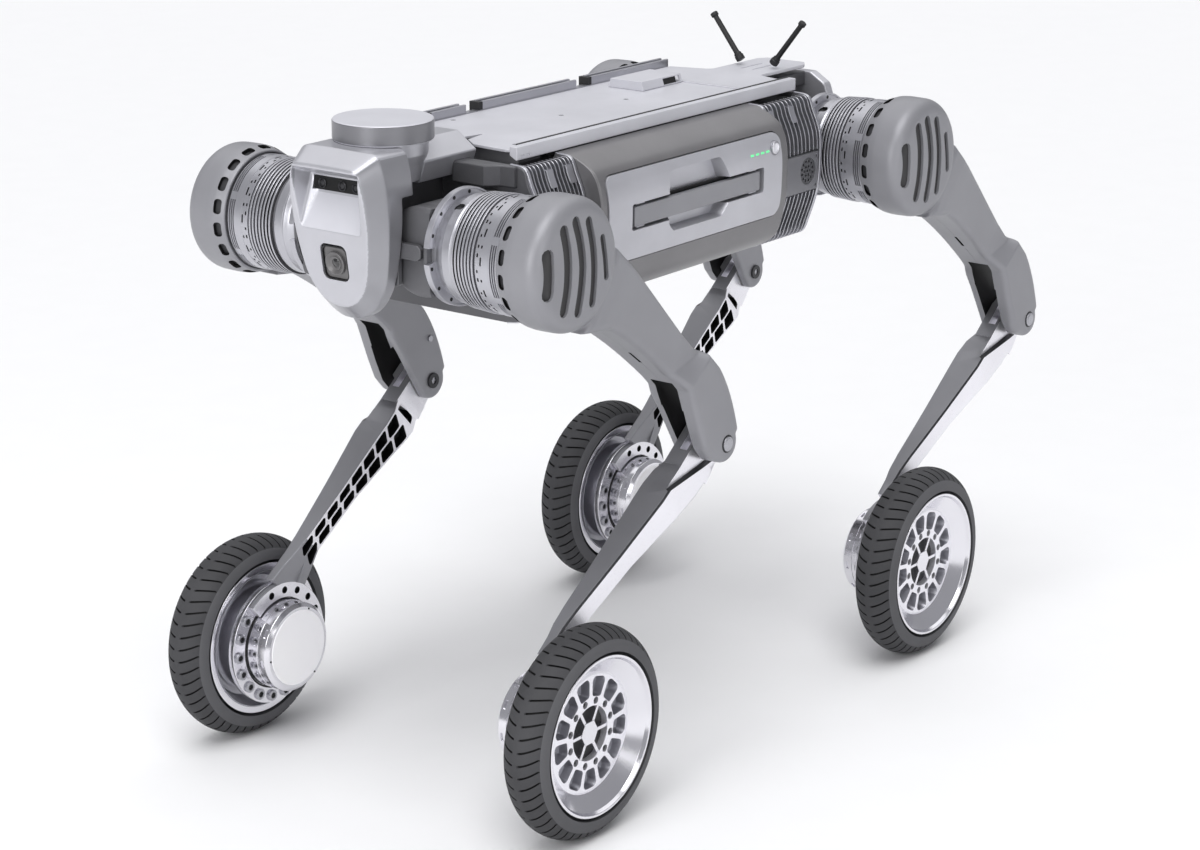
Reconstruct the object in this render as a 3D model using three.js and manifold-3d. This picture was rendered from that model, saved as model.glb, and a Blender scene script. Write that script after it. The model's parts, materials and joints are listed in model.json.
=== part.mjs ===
// A four-legged robot that stands on powered wheels.
// Millimetres. +X is forward, +Y is the robot's left, +Z is up.
// The origin is on the ground, under the middle of the bounding box.
// Each leg: a hip actuator turns about X, the thigh turns about Y, a crank and push rod
// inside the thigh turn the calf at the knee, and a hub motor drives the wheel.

import * as THREE from 'three';
import { mergeVertices } from 'three/addons/utils/BufferGeometryUtils.js';
import Module from 'manifold-3d';

const wasm = await Module();
wasm.setup();

// Driving dimensions of a leg, as it stands. The tyre rests on one of its flats.
const WHEEL_RADIUS = 112.4;
const THIGH_LENGTH = 355.2;
const CALF_LENGTH = 350.5;
const THIGH_LEAN = THREE.MathUtils.degToRad(47.05);
const CALF_LEAN = THREE.MathUtils.degToRad(46.2);
const HIP_X = 328.5;
const HIP_Y = 72;
const TYRE_SIDES = 30;
const HIP_Z = WHEEL_RADIUS * Math.cos(Math.PI / TYRE_SIDES)
  + CALF_LENGTH * Math.cos(CALF_LEAN) + THIGH_LENGTH * Math.cos(THIGH_LEAN);

// The crank and the push rod that carry the knee drive, side by side inside the thigh.
const LEVER_LENGTH = 28;
const LINK_PIN_RADIUS = 4;
const LINK_EYE_RADIUS = 9;
const KNEE_PIN_RADIUS = 7;
const RUNNING_GAP = 0.4;

// The trunk.
const BULKHEAD_X = 262;
const END_PLATE_X = 378.5;
const SHELL_FRONT_X = 182;
const SHELL_REAR_X = -163;
const DECK_Z = 677.5;
const RAIL_Z = 683.5;
const ORIGIN_SHIFT_X = 89.1;

const MATERIALS = {
  lightPaint: material(0xd4d5db, 0.45, 0.3),
  headPaint: material(0xbfc0cc, 0.45, 0.3),
  greyPaint: material(0x85858d, 0.55, 0.2),
  thighPaint: material(0x94949e, 0.55, 0.2),
  darkPaint: material(0x3d3f4a, 0.6, 0.2),
  aluminium: material(0xa9aab4, 0.35, 0.9),
  polished: material(0xd2d3d6, 0.15, 1),
  steel: material(0x9a9ba2, 0.3, 1),
  rubber: material(0x3b3b3e, 0.85, 0),
  blackPlastic: material(0x202124, 0.6, 0),
  lensGlass: material(0x17181c, 0.1, 0.1),
};

function material(color, roughness, metalness) {
  return new THREE.MeshStandardMaterial({ color, roughness, metalness });
}

// Solids: a geometry becomes a manifold for a join or a cut, and comes back as a geometry.

function solid(geometry) {
  const bare = geometry.clone();
  bare.deleteAttribute('normal');
  bare.deleteAttribute('uv');
  const merged = mergeVertices(bare, 1e-4);
  return new wasm.Manifold(new wasm.Mesh({
    numProp: 3,
    vertProperties: new Float32Array(merged.attributes.position.array),
    triVerts: new Uint32Array(merged.index.array),
  }));
}

function fromSolid(manifold) {
  const mesh = manifold.getMesh();
  const geometry = new THREE.BufferGeometry();
  geometry.setAttribute('position', new THREE.BufferAttribute(mesh.vertProperties, 3));
  geometry.setIndex(new THREE.BufferAttribute(mesh.triVerts, 1));
  geometry.computeVertexNormals();
  return geometry;
}

function join(...geometries) {
  return fromSolid(geometries.map(solid).reduce((whole, next) => whole.add(next)));
}

function cut(geometry, ...tools) {
  return fromSolid(tools.map(solid).reduce((rest, tool) => rest.subtract(tool), solid(geometry)));
}

// Basic shapes, each given by where it starts and ends.

function box(x0, x1, y0, y1, z0, z1) {
  const geometry = new THREE.BoxGeometry(x1 - x0, y1 - y0, z1 - z0);
  return geometry.translate((x0 + x1) / 2, (y0 + y1) / 2, (z0 + z1) / 2);
}

function cylinderY(radius, y0, y1, x = 0, z = 0, sides = 16) {
  const geometry = new THREE.CylinderGeometry(radius, radius, y1 - y0, sides);
  return geometry.translate(x, (y0 + y1) / 2, z);
}

function cylinderX(radius, x0, x1, y = 0, z = 0, sides = 16) {
  const geometry = new THREE.CylinderGeometry(radius, radius, x1 - x0, sides);
  return geometry.rotateZ(-Math.PI / 2).translate((x0 + x1) / 2, y, z);
}

// A solid of revolution about Y, from [radius, y] pairs.
function turnedY(profile, sides) {
  return new THREE.LatheGeometry(profile.map(([r, y]) => new THREE.Vector2(r, y)), sides);
}

function plainExtrusion(shape, depth) {
  return new THREE.ExtrudeGeometry(shape, { depth, bevelEnabled: false, curveSegments: 4 });
}

// An outline in X and Z, thick along Y.
function slabY(shape, y0, y1) {
  return plainExtrusion(shape, y1 - y0).rotateX(Math.PI / 2).translate(0, y1, 0);
}

// An outline in Y and Z, thick along X.
function slabX(shape, x0, x1) {
  const turn = new THREE.Matrix4().makeBasis(
    new THREE.Vector3(0, 1, 0), new THREE.Vector3(0, 0, 1), new THREE.Vector3(1, 0, 0));
  return plainExtrusion(shape, x1 - x0).applyMatrix4(turn).translate(x0, 0, 0);
}

// An outline in X and Y, thick along Z.
function slabZ(shape, z0, z1) {
  return plainExtrusion(shape, z1 - z0).translate(0, 0, z0);
}

function polygon(points) {
  return new THREE.Shape(points.map(([a, b]) => new THREE.Vector2(a, b)));
}

function roundedRectangle(a0, a1, b0, b1, radius) {
  const shape = new THREE.Shape();
  shape.absarc(a1 - radius, b0 + radius, radius, -Math.PI / 2, 0);
  shape.absarc(a1 - radius, b1 - radius, radius, 0, Math.PI / 2);
  shape.absarc(a0 + radius, b1 - radius, radius, Math.PI / 2, Math.PI);
  shape.absarc(a0 + radius, b0 + radius, radius, Math.PI, Math.PI * 1.5);
  return shape;
}

// A bar with round ends between two centres, in X and Z.
function stadium(xa, za, ra, xb, zb, rb) {
  const along = Math.atan2(zb - za, xb - xa);
  const spread = Math.acos((ra - rb) / Math.hypot(xb - xa, zb - za));
  const shape = new THREE.Shape();
  shape.absarc(xa, za, ra, along + spread, along - spread + Math.PI * 2);
  shape.absarc(xb, zb, rb, along - spread, along + spread);
  return shape;
}

function mesh(name, geometry, look, parent) {
  const node = new THREE.Mesh(geometry, MATERIALS[look]);
  node.name = name;
  parent.add(node);
}

// ---- One leg. Its own frame has the hip's Y axis at the origin, and Y counts from the trunk's middle.

// The housing of the hip and knee drives, with the knuckle that turns between the trunk's plates.
function hipActuator(trunkSide) {
  const housing = turnedY([
    [0, 76], [50, 80.5], [62, 84], [62, 92], [56, 94.5], [58, 117], [60, 119], [62.5, 151],
    [62.5, 178], [0, 178],
  ], 24);
  const knuckle = cylinderX(46, -65, 48.5, HIP_Y, 0, 20);
  if (trunkSide > 0) knuckle.rotateZ(Math.PI).translate(0, 2 * HIP_Y, 0);
  return join(housing, knuckle);
}

// The thigh's outline below the hip, hanging straight down: +X is its front.
function thighOutline() {
  const shape = new THREE.Shape();
  shape.moveTo(-50, -52);
  shape.lineTo(-58, -93);
  shape.lineTo(-57, -286);
  shape.quadraticCurveTo(-50, -325, -24, -366);
  shape.absarc(0, -THIGH_LENGTH, 21, Math.PI * 1.16, Math.PI * 2);
  shape.lineTo(20, -315);
  shape.quadraticCurveTo(10, -285, -1, -262);
  shape.lineTo(-4, -240);
  shape.quadraticCurveTo(0, -150, 16, -96);
  shape.lineTo(44, -58);
  return shape;
}

function kneeHole(y0, y1) {
  return cylinderY(KNEE_PIN_RADIUS + RUNNING_GAP, y0, y1, 0, -THIGH_LENGTH, 12);
}

const THIGH_INNER = { y0: 174.5, y1: 183.5 };
const THIGH_OUTER = { y0: 215, y1: 228 };
const DOME_RIM_Y = 181;

// The painted outer half of the thigh: the dome over the hip drive and the outer cheek.
function thighShell() {
  const dome = turnedY([
    [0, 215], [60, 211], [66, 198], [66, DOME_RIM_Y], [72, DOME_RIM_Y], [74, 193], [70, 211],
    [58, 227], [38, 233.5], [0, 235],
  ], 24);
  const passage = box(-61, 46, DOME_RIM_Y - 1, THIGH_OUTER.y0 - 0.4, -100, -34);
  const cheek = slabY(thighOutline(), THIGH_OUTER.y0, THIGH_OUTER.y1);
  const hole = kneeHole(THIGH_OUTER.y0 - 1, THIGH_OUTER.y1 + 1);
  return cut(join(cut(dome, passage), cheek), hole);
}

// The inner half: the ring on the hip drive, the inner cheek and the wall at the back.
function thighFrame() {
  const ring = cylinderY(62, 180.5, 186, 0, 0, 24);
  const cheek = cut(slabY(thighOutline(), THIGH_INNER.y0, THIGH_INNER.y1),
    cylinderY(66, THIGH_INNER.y0 - 1, 180, 0, 0, 24));
  const backWall = box(-57, -49, THIGH_INNER.y1 - 1, THIGH_OUTER.y0 - 0.4, -280, -104);
  return cut(join(ring, cheek, backWall), cylinderY(24, 179, 187),
    kneeHole(THIGH_INNER.y0 - 1, THIGH_INNER.y1 + 1));
}

function kneePin() {
  const z = -THIGH_LENGTH;
  return join(cylinderY(KNEE_PIN_RADIUS, 173, 230, 0, z, 12),
    cylinderY(10, THIGH_OUTER.y1 + 0.4, 231, 0, z),
    cylinderY(9, 171.5, THIGH_INNER.y0 - 0.4, 0, z, 6));
}

// The knee's links. The lever points straight back from the calf, so it is measured from the
// calf's direction, and the crank always stands parallel to it.
const KNEE_BEND = THIGH_LEAN + CALF_LEAN;
const LEVER_X = -LEVER_LENGTH * Math.sin(KNEE_BEND);
const LEVER_Z = LEVER_LENGTH * Math.cos(KNEE_BEND);

function kneeCrank() {
  const arm = slabY(stadium(0, 0, 20, LEVER_X, LEVER_Z, LINK_EYE_RADIUS), 189.5, 195.3);
  return join(arm, cylinderY(18, 179, 190),
    cylinderY(LINK_PIN_RADIUS, 195, 202.6, LEVER_X, LEVER_Z, 8));
}

function pushRod() {
  const low = LEVER_Z - THIGH_LENGTH;
  const bar = slabY(polygon([
    [LEVER_X - 5, LEVER_Z], [LEVER_X - 5, low], [LEVER_X + 5, low], [LEVER_X + 5, LEVER_Z],
  ]), 196, 202);
  const eyes = [LEVER_Z, low].map((z) => cylinderY(LINK_EYE_RADIUS, 196, 202, LEVER_X, z, 12));
  const holes = [LEVER_Z, low].map(
    (z) => cylinderY(LINK_PIN_RADIUS + RUNNING_GAP, 195, 203, LEVER_X, z, 8));
  return cut(join(bar, ...eyes), ...holes);
}

// The calf hangs straight down from the knee in its own frame: +X is its front.
const CALF = { y0: 176.5, y1: 193, earInner: 185, earOuter: 213 };
const ROD_SLOT = { y0: 194.5, y1: 203.5 };

function calfBeamOutline() {
  const shape = new THREE.Shape();
  shape.moveTo(20, -26);
  shape.lineTo(31, -90);
  shape.lineTo(42.5, -180);
  shape.lineTo(57, -270);
  shape.lineTo(66, -330);
  shape.lineTo(40, -318);
  shape.lineTo(0, -306);
  shape.lineTo(-26, -310);
  shape.lineTo(14, -284);
  shape.lineTo(27, -250);
  shape.lineTo(14, -170);
  shape.lineTo(-5, -100);
  shape.lineTo(-20, -56);
  shape.lineTo(-24, -26);
  return shape;
}

// The beam narrows from the knee's width to the thickness of the foot plate.
function calfBeam() {
  const wide = slabY(calfBeamOutline(), CALF.y0, CALF.earOuter);
  const outerWedge = slabZ(polygon([
    [-90, CALF.earOuter], [-90, CALF.earOuter + 60], [90, CALF.earOuter + 60], [90, CALF.earOuter],
  ]), -260, 0);
  outerWedge.translate(0, -CALF.earOuter, 96);
  outerWedge.rotateX(-Math.atan2(CALF.earOuter - CALF.y1 - 1, 164));
  outerWedge.translate(0, CALF.earOuter, -96);
  const innerWedge = slabZ(polygon([[-90, -60], [-90, 0], [90, 0], [90, -60]]), 0, 140);
  innerWedge.rotateX(-Math.atan2(CALF.earInner - CALF.y0 - 1, 110));
  innerWedge.translate(0, CALF.y0, -156);
  return cut(wide, outerWedge, box(-90, 90, CALF.y1, 230, -420, -255), innerWedge);
}

function calf() {
  const knuckle = slabY(stadium(0, LEVER_LENGTH, LINK_EYE_RADIUS, 0, 0, 19),
    CALF.earInner, CALF.earOuter);
  const neck = slabY(polygon([[19, 4], [-19, 4], [-24, -40], [24, -48]]),
    CALF.earInner, CALF.earOuter);
  const rodSlot = box(-40, 40, ROD_SLOT.y0, ROD_SLOT.y1, -28, 60);
  const footPlate = cut(cylinderY(68, 181, 188, 0, -CALF_LENGTH, 24),
    cylinderY(51, 180, 189, 0, -CALF_LENGTH, 24),
    box(-90, 90, 180, 189, -CALF_LENGTH - 90, -CALF_LENGTH + 5));
  const body = cut(join(calfBeam(), knuckle, neck), rodSlot,
    cylinderY(KNEE_PIN_RADIUS + RUNNING_GAP, CALF.earInner - 1, CALF.earOuter + 1, 0, 0, 12),
    cylinderY(51, 170, 230, 0, -CALF_LENGTH, 24),
    cylinderY(71, 188, 230, 0, -CALF_LENGTH, 24));
  const leverPin = cylinderY(LINK_PIN_RADIUS, ROD_SLOT.y0 - 1, ROD_SLOT.y1 + 1, 0, LEVER_LENGTH, 8);
  return join(body, footPlate, leverPin);
}

// The fixed half of the hub motor, in the wheel's frame.
function hubMotor() {
  return turnedY([
    [0, 157], [45.6, 157], [49.5, 161], [49.5, 188.4], [69, 188.4], [69, 196], [61, 199],
    [61, 224], [0, 224],
  ], 20);
}

function rim() {
  return turnedY([
    [0, 229], [70, 229], [77, 206], [87, 206], [85, 212], [79, 220], [79, 243], [85, 250],
    [87, 256.6], [83, 256.6], [63, 239], [0, 241],
  ], 24);
}

function tyre() {
  return turnedY([
    [86.6, 213], [91, 205.7], [103, 212], [WHEEL_RADIUS, 227], [WHEEL_RADIUS, 235.8],
    [103, 250.8], [91, 257.1], [86.6, 249.8], [80.5, 243.2], [80.5, 219.8], [86.6, 213],
  ], TYRE_SIDES);
}

function leg(name, endSign, sideSign) {
  const hip = new THREE.Group();
  hip.position.set(endSign * HIP_X, 0, HIP_Z);
  hip.scale.y = sideSign;
  const thigh = new THREE.Group();
  thigh.rotation.y = THIGH_LEAN;
  const knee = new THREE.Group();
  knee.position.z = -THIGH_LENGTH;
  knee.rotation.y = -KNEE_BEND;
  const wheel = new THREE.Group();
  wheel.position.z = -CALF_LENGTH;
  wheel.rotation.y = CALF_LEAN + Math.PI / TYRE_SIDES;
  hip.add(thigh);
  thigh.add(knee);
  knee.add(wheel);
  mesh(`${name}_hip_actuator`, hipActuator(-endSign), 'aluminium', hip);
  mesh(`${name}_thigh_shell`, thighShell(), 'thighPaint', thigh);
  mesh(`${name}_thigh_frame`, thighFrame(), 'thighPaint', thigh);
  mesh(`${name}_knee_pin`, kneePin(), 'steel', thigh);
  mesh(`${name}_knee_crank`, kneeCrank(), 'steel', thigh);
  mesh(`${name}_push_rod`, pushRod(), 'steel', thigh);
  mesh(`${name}_calf`, calf(), 'aluminium', knee);
  mesh(`${name}_hub_motor`, hubMotor(), 'polished', wheel);
  mesh(`${name}_rim`, rim(), 'polished', wheel);
  mesh(`${name}_tyre`, tyre(), 'rubber', wheel);
  return hip;
}

// ---- The trunk.

const BATTERY = { x0: -148, x1: 172, z0: 553, z1: 646 };
const BATTERY_BAY = { x0: -132, x1: 156, z0: 560, z1: 640, y0: -62 };
const HANDLE = { x0: -106, x1: 126, z0: 587, z1: 609 };

// One side's outline from the deck's edge, round the bulge, to the belly.
function sideCurve(bulge) {
  return [
    [93, 668.8], [112, 666], [bulge - 11, 651], [bulge - 1, 625], [bulge, 590], [bulge - 3, 560],
    [bulge - 14, 526], [108, 508], [88, 503],
  ];
}

function sideShell(side) {
  const outer = sideCurve(150).map(([y, z]) => [side * y, z]);
  const inner = outer.map(([y, z]) => [side * 60 + (y - side * 60) * 0.94, 590 + (z - 590) * 0.94]);
  return slabX(polygon([...outer, ...inner.reverse()]), SHELL_REAR_X, SHELL_FRONT_X);
}

function leftSideShell() {
  const b = BATTERY;
  const window = roundedRectangle(b.x0 - 1, b.x1 + 1, b.z0 - 1, b.z1 + 1, 13);
  return cut(sideShell(1), slabY(window, 100, 160));
}

// The inner box that carries everything, with the battery's bay open to the left.
function chassis() {
  const shell = box(SHELL_REAR_X - 0.4, SHELL_FRONT_X - 0.4, -82, 82, 509, 673.9);
  const b = BATTERY_BAY;
  const bay = box(b.x0 - 1, b.x1 + 1, b.y0 - 1, 90, b.z0 - 1, b.z1 + 1);
  const boardBay = box(b.x0, b.x1, -90, -70, b.z0, b.z1);
  return cut(shell, bay, boardBay);
}

function batteryPack() {
  const b = BATTERY;
  const bay = BATTERY_BAY;
  const panel = slabY(roundedRectangle(b.x0, b.x1, b.z0, b.z1, 12), 132, 151);
  const cells = box(bay.x0, bay.x1, bay.y0, 134, bay.z0, bay.z1);
  const grip = box(-44, 62, 126, 160, 572, 636);
  const handleSlot = slabY(roundedRectangle(HANDLE.x0 - 6, HANDLE.x1 + 6, 580, 616, 5), 136, 160);
  const buttonWell = cylinderY(8, 146, 160, -134.8, 629.6, 20);
  return cut(join(panel, cells), grip, handleSlot, buttonWell);
}

function batteryHandle() {
  const h = HANDLE;
  const bar = box(h.x0, h.x1, 143.5, 149.5, h.z0, h.z1);
  const feet = [[h.x0, h.x0 + 18], [h.x1 - 18, h.x1]].map(
    ([x0, x1]) => box(x0, x1, 136.3, 144, h.z0 + 2, h.z1 - 2));
  return join(bar, ...feet);
}

function powerButton() {
  return cylinderY(6.6, 147.8, 152.2, -134.8, 629.6, 20);
}

function bellyCover() {
  return slabZ(roundedRectangle(SHELL_REAR_X + 6, SHELL_FRONT_X - 6, -82.5, 82.5, 18), 501, 508.6);
}

// A housing at each end of the trunk. Its fins and its fan grille are on the same body, and a
// spine and a bridge reach past the hips to the plate that holds the outer hip bearings.
function endHousing(innerX) {
  const right = sideCurve(131).map(([y, z]) => [-y, z]);
  const section = polygon([...sideCurve(131), ...right.reverse()]);
  const drum = slabX(section, innerX, BULKHEAD_X - 0.5);
  const spine = box(BULKHEAD_X - 6, END_PLATE_X + 3, -7, 7, 545, 660);
  const plate = slabX(polygon([
    [-50, 560], [50, 560], [50, 589], [74, 589], [79, 593], [79, 601], [74, 605], [50, 605],
    [42, 636], [-42, 636], [-50, 605], [-74, 605], [-79, 601], [-79, 593], [-74, 589], [-50, 589],
  ]), END_PLATE_X, END_PLATE_X + 6.5);
  return join(drum, spine, plate);
}

// A roof-shaped bridge runs forward from the deck to the mast.
function frontHousing() {
  const bridge = slabX(polygon([
    [-30, 652], [30, 652], [38, 675], [14, 692], [-14, 692], [-38, 675],
  ]), 244, 301);
  return join(endHousing(SHELL_FRONT_X + 0.6), bridge);
}

function rearHousing() {
  const housing = endHousing(-SHELL_REAR_X + 1.4);
  const tail = slabX(polygon([
    [-30, 536], [30, 536], [54, 560], [63, 600], [63, 630], [54, 656], [34, 668], [-34, 668],
    [-54, 656], [-63, 630], [-63, 600], [-54, 560],
  ]), END_PLATE_X + 6, END_PLATE_X + 20);
  const bridge = box(290, END_PLATE_X + 7, -27, 27, 652, 668);
  return join(housing, tail, bridge).rotateZ(Math.PI);
}

function deckPlate() {
  const outline = polygon([
    [-189.5, -83], [235, -83], [240, -70], [237, -26], [222, -7], [184, 0], [222, 7], [237, 26],
    [240, 70], [235, 83], [-189.5, 83],
  ]);
  const bracket = slabX(polygon([[-62, 677], [-12, 677], [-16, 688], [-58, 688]]), -188, -112);
  return join(slabZ(outline, 674.3, DECK_Z), bracket);
}

function rearCover() {
  const outline = polygon([
    [-190, -83], [-190, 83], [-262, 83], [-276, 34], [-372, 34], [-384, 26], [-384, -26],
    [-372, -34], [-276, -34], [-262, -83],
  ]);
  return slabZ(outline, 674.3, 679);
}

function leftRail() {
  const side = [[83.6, 674.3], [92, 669.5], [93, 670], [93, RAIL_Z], [83.6, RAIL_Z]];
  return slabX(polygon(side), -262, 250);
}

// The right rail has a low base, and stands up as a slotted channel in three lengths.
function rightRail() {
  const base = slabX(polygon([[-93, 670], [-83.6, 670], [-83.6, 678], [-93, 678]]), -262, 250);
  const lengths = [[-262, -112], [-84, 84], [112, 170]];
  const channels = lengths.map(([x0, x1]) => box(x0, x1, -98, -85, 677, 687));
  return cut(join(base, ...channels), box(-270, 260, -94.5, -88.5, 679.5, 690));
}

// ---- The head and the mast above it.

// Half of the head's front outline, from the crown to the chin.
const HEAD_HALF = [
  [30, 696.4], [44, 694], [53, 681], [58, 655], [58, 622], [54, 590], [46, 558], [32, 536], [14, 525],
];
const FACE_TILT = 0.16;
const HEAD_BACK_X = END_PLATE_X + 7;
const FACE_X = 425;

function headSection(scale) {
  const middle = 615;
  const half = HEAD_HALF.map(([y, z]) => [y * scale, middle + (z - middle) * scale]);
  return polygon([...half, ...half.map(([y, z]) => [-y, z]).reverse()]);
}

// The front of the face leans out over the chin, so X grows with Z.
function tiltFace(geometry) {
  const position = geometry.attributes.position;
  for (let i = 0; i < position.count; i++) {
    const reach = (position.getX(i) - HEAD_BACK_X) / (FACE_X - HEAD_BACK_X);
    position.setX(i, position.getX(i) + reach * FACE_TILT * (position.getZ(i) - 600));
  }
  return geometry;
}

function headShell() {
  const skull = slabX(headSection(1), HEAD_BACK_X, FACE_X - 12);
  const mask = slabX(headSection(0.9), FACE_X - 13, FACE_X);
  const crown = slabX(headSection(0.96), FACE_X - 13, FACE_X - 6);
  const head = tiltFace(join(skull, crown, mask));
  const visor = slabY(polygon([[460, 668], [417, 668], [412, 652], [427.5, 612], [460, 612]]), -33, 33);
  const sensorPocket = box(402, 420, -30, 30, 653, 667);
  const cameraPocket = box(408, 460, -17, 17, 569, 603);
  return cut(head, visor, sensorPocket, cameraPocket);
}

function depthCamera() {
  return box(402.4, 413, -29.4, 29.4, 653.4, 666.4);
}

function frontCamera() {
  const bezel = slabX(roundedRectangle(-16.4, 16.4, 569.6, 602.4, 7), 408.4, 421);
  return join(bezel, cylinderX(11, 420, 424, 0, 586, 20));
}

// The neck stands on the bridge behind the head and carries the scanner's round cap.
const MAST_X = 346;

function scannerNeck() {
  const column = new THREE.LatheGeometry([
    new THREE.Vector2(0, 661), new THREE.Vector2(38, 661), new THREE.Vector2(40, 672),
    new THREE.Vector2(45, 684), new THREE.Vector2(45, 696.6), new THREE.Vector2(0, 696.6),
  ], 20);
  column.rotateX(Math.PI / 2).translate(MAST_X, 0, 0);
  return cut(column, box(380, 400, -60, 60, 655, 700), box(300, 304, -60, 60, 655, 700));
}

function scannerCap() {
  const cap = new THREE.LatheGeometry([
    new THREE.Vector2(0, 697), new THREE.Vector2(49.5, 697), new THREE.Vector2(51, 698.5),
    new THREE.Vector2(51, 716.5), new THREE.Vector2(49.5, 718), new THREE.Vector2(0, 718),
  ], 28);
  return cap.rotateX(Math.PI / 2).translate(MAST_X, 0, 0);
}

// A stub antenna, upright in its own frame with its pivot at the origin.
function antenna() {
  const profile = [[0, 0.6], [5.5, 0.6], [5.5, 8], [3.2, 11], [3.2, 61], [4.6, 62], [4.6, 67], [0, 67]];
  return turnedY(profile, 8).rotateX(Math.PI / 2);
}

const ANTENNA = { x: -322, y: 22, z: 684, lean: THREE.MathUtils.degToRad(38) };

function addTrunk(robot) {
  mesh('chassis', chassis(), 'darkPaint', robot);
  mesh('left_side_shell', leftSideShell(), 'greyPaint', robot);
  mesh('right_side_shell', sideShell(-1), 'greyPaint', robot);
  mesh('belly_cover', bellyCover(), 'greyPaint', robot);
  mesh('front_housing', frontHousing(), 'aluminium', robot);
  mesh('rear_housing', rearHousing(), 'aluminium', robot);
  mesh('battery_pack', batteryPack(), 'headPaint', robot);
  mesh('battery_handle', batteryHandle(), 'greyPaint', robot);
  mesh('power_button', powerButton(), 'polished', robot);
  mesh('deck_plate', deckPlate(), 'lightPaint', robot);
  mesh('rear_cover', rearCover(), 'lightPaint', robot);
  mesh('left_rail', leftRail(), 'lightPaint', robot);
  mesh('right_rail', rightRail(), 'aluminium', robot);
}

function addHead(robot) {
  mesh('head_shell', headShell(), 'headPaint', robot);
  mesh('depth_camera', depthCamera(), 'lensGlass', robot);
  mesh('front_camera', frontCamera(), 'blackPlastic', robot);
  mesh('scanner_neck', scannerNeck(), 'headPaint', robot);
  mesh('scanner_cap', scannerCap(), 'lightPaint', robot);
}

function addAntennas(robot) {
  for (const [name, side] of [['left_antenna', 1], ['right_antenna', -1]]) {
    const pivot = new THREE.Group();
    pivot.position.set(ANTENNA.x, side * ANTENNA.y, ANTENNA.z);
    pivot.rotation.x = -side * ANTENNA.lean;
    mesh(name, antenna(), 'blackPlastic', pivot);
    robot.add(pivot);
  }
}

const robot = new THREE.Group();
robot.position.x = ORIGIN_SHIFT_X;
addTrunk(robot);
addHead(robot);
addAntennas(robot);
for (const [end, endSign] of [['front', 1], ['rear', -1]]) {
  for (const [side, sideSign] of [['left', 1], ['right', -1]]) {
    robot.add(leg(`${end}_${side}`, endSign, sideSign));
  }
}

export default robot;
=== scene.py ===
# The visual model of the four-legged robot on powered wheels, around its CAD frame.
# Shapes are worked out in millimetres and brought to metres when a piece is placed.

import json
import math

import bmesh
import bpy
import numpy as np
from mathutils import Matrix, Vector

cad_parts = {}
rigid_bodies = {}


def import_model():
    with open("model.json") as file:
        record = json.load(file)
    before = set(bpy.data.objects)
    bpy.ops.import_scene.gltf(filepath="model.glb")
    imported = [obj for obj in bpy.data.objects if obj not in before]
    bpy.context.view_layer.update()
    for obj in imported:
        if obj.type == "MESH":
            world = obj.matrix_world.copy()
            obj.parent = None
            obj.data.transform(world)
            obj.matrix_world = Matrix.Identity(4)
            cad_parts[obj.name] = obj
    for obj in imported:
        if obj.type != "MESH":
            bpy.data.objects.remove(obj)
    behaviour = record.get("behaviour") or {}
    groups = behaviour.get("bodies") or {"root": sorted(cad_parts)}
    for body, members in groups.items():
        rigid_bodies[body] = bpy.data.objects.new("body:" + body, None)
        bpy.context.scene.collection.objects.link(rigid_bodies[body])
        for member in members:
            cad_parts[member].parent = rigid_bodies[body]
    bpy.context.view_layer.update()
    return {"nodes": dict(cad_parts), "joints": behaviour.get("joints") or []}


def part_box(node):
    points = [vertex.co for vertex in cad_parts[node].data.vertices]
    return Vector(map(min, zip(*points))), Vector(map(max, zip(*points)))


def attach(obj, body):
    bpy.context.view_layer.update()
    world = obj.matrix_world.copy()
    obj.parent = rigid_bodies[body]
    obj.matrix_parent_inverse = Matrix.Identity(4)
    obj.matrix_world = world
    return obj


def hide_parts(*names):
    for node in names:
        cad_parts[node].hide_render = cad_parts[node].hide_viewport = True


for leftover in list(bpy.data.objects):
    bpy.data.objects.remove(leftover)
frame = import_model()

METRES = Matrix.Scale(0.001, 4)
JOINTS = {joint["name"]: joint for joint in frame["joints"]}
# The trunk's own middle, in X, in the row frame.
TRUNK_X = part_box("chassis")[0].x * 1000 + 163.4

# The main dimensions of a leg, as in the CAD model.
THIGH_LENGTH = 355.2
CALF_LENGTH = 350.5
LEVER_LENGTH = 28
HIP_Y = 72
# How far the thigh leans back and the calf leans forward as the robot stands, in degrees.
THIGH_LEAN = 47.05
CALF_LEAN = 46.2


# ---- Materials. Every one is procedural: a colour that drifts a little, a roughness that
# varies with it, and a fine grain.


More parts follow.
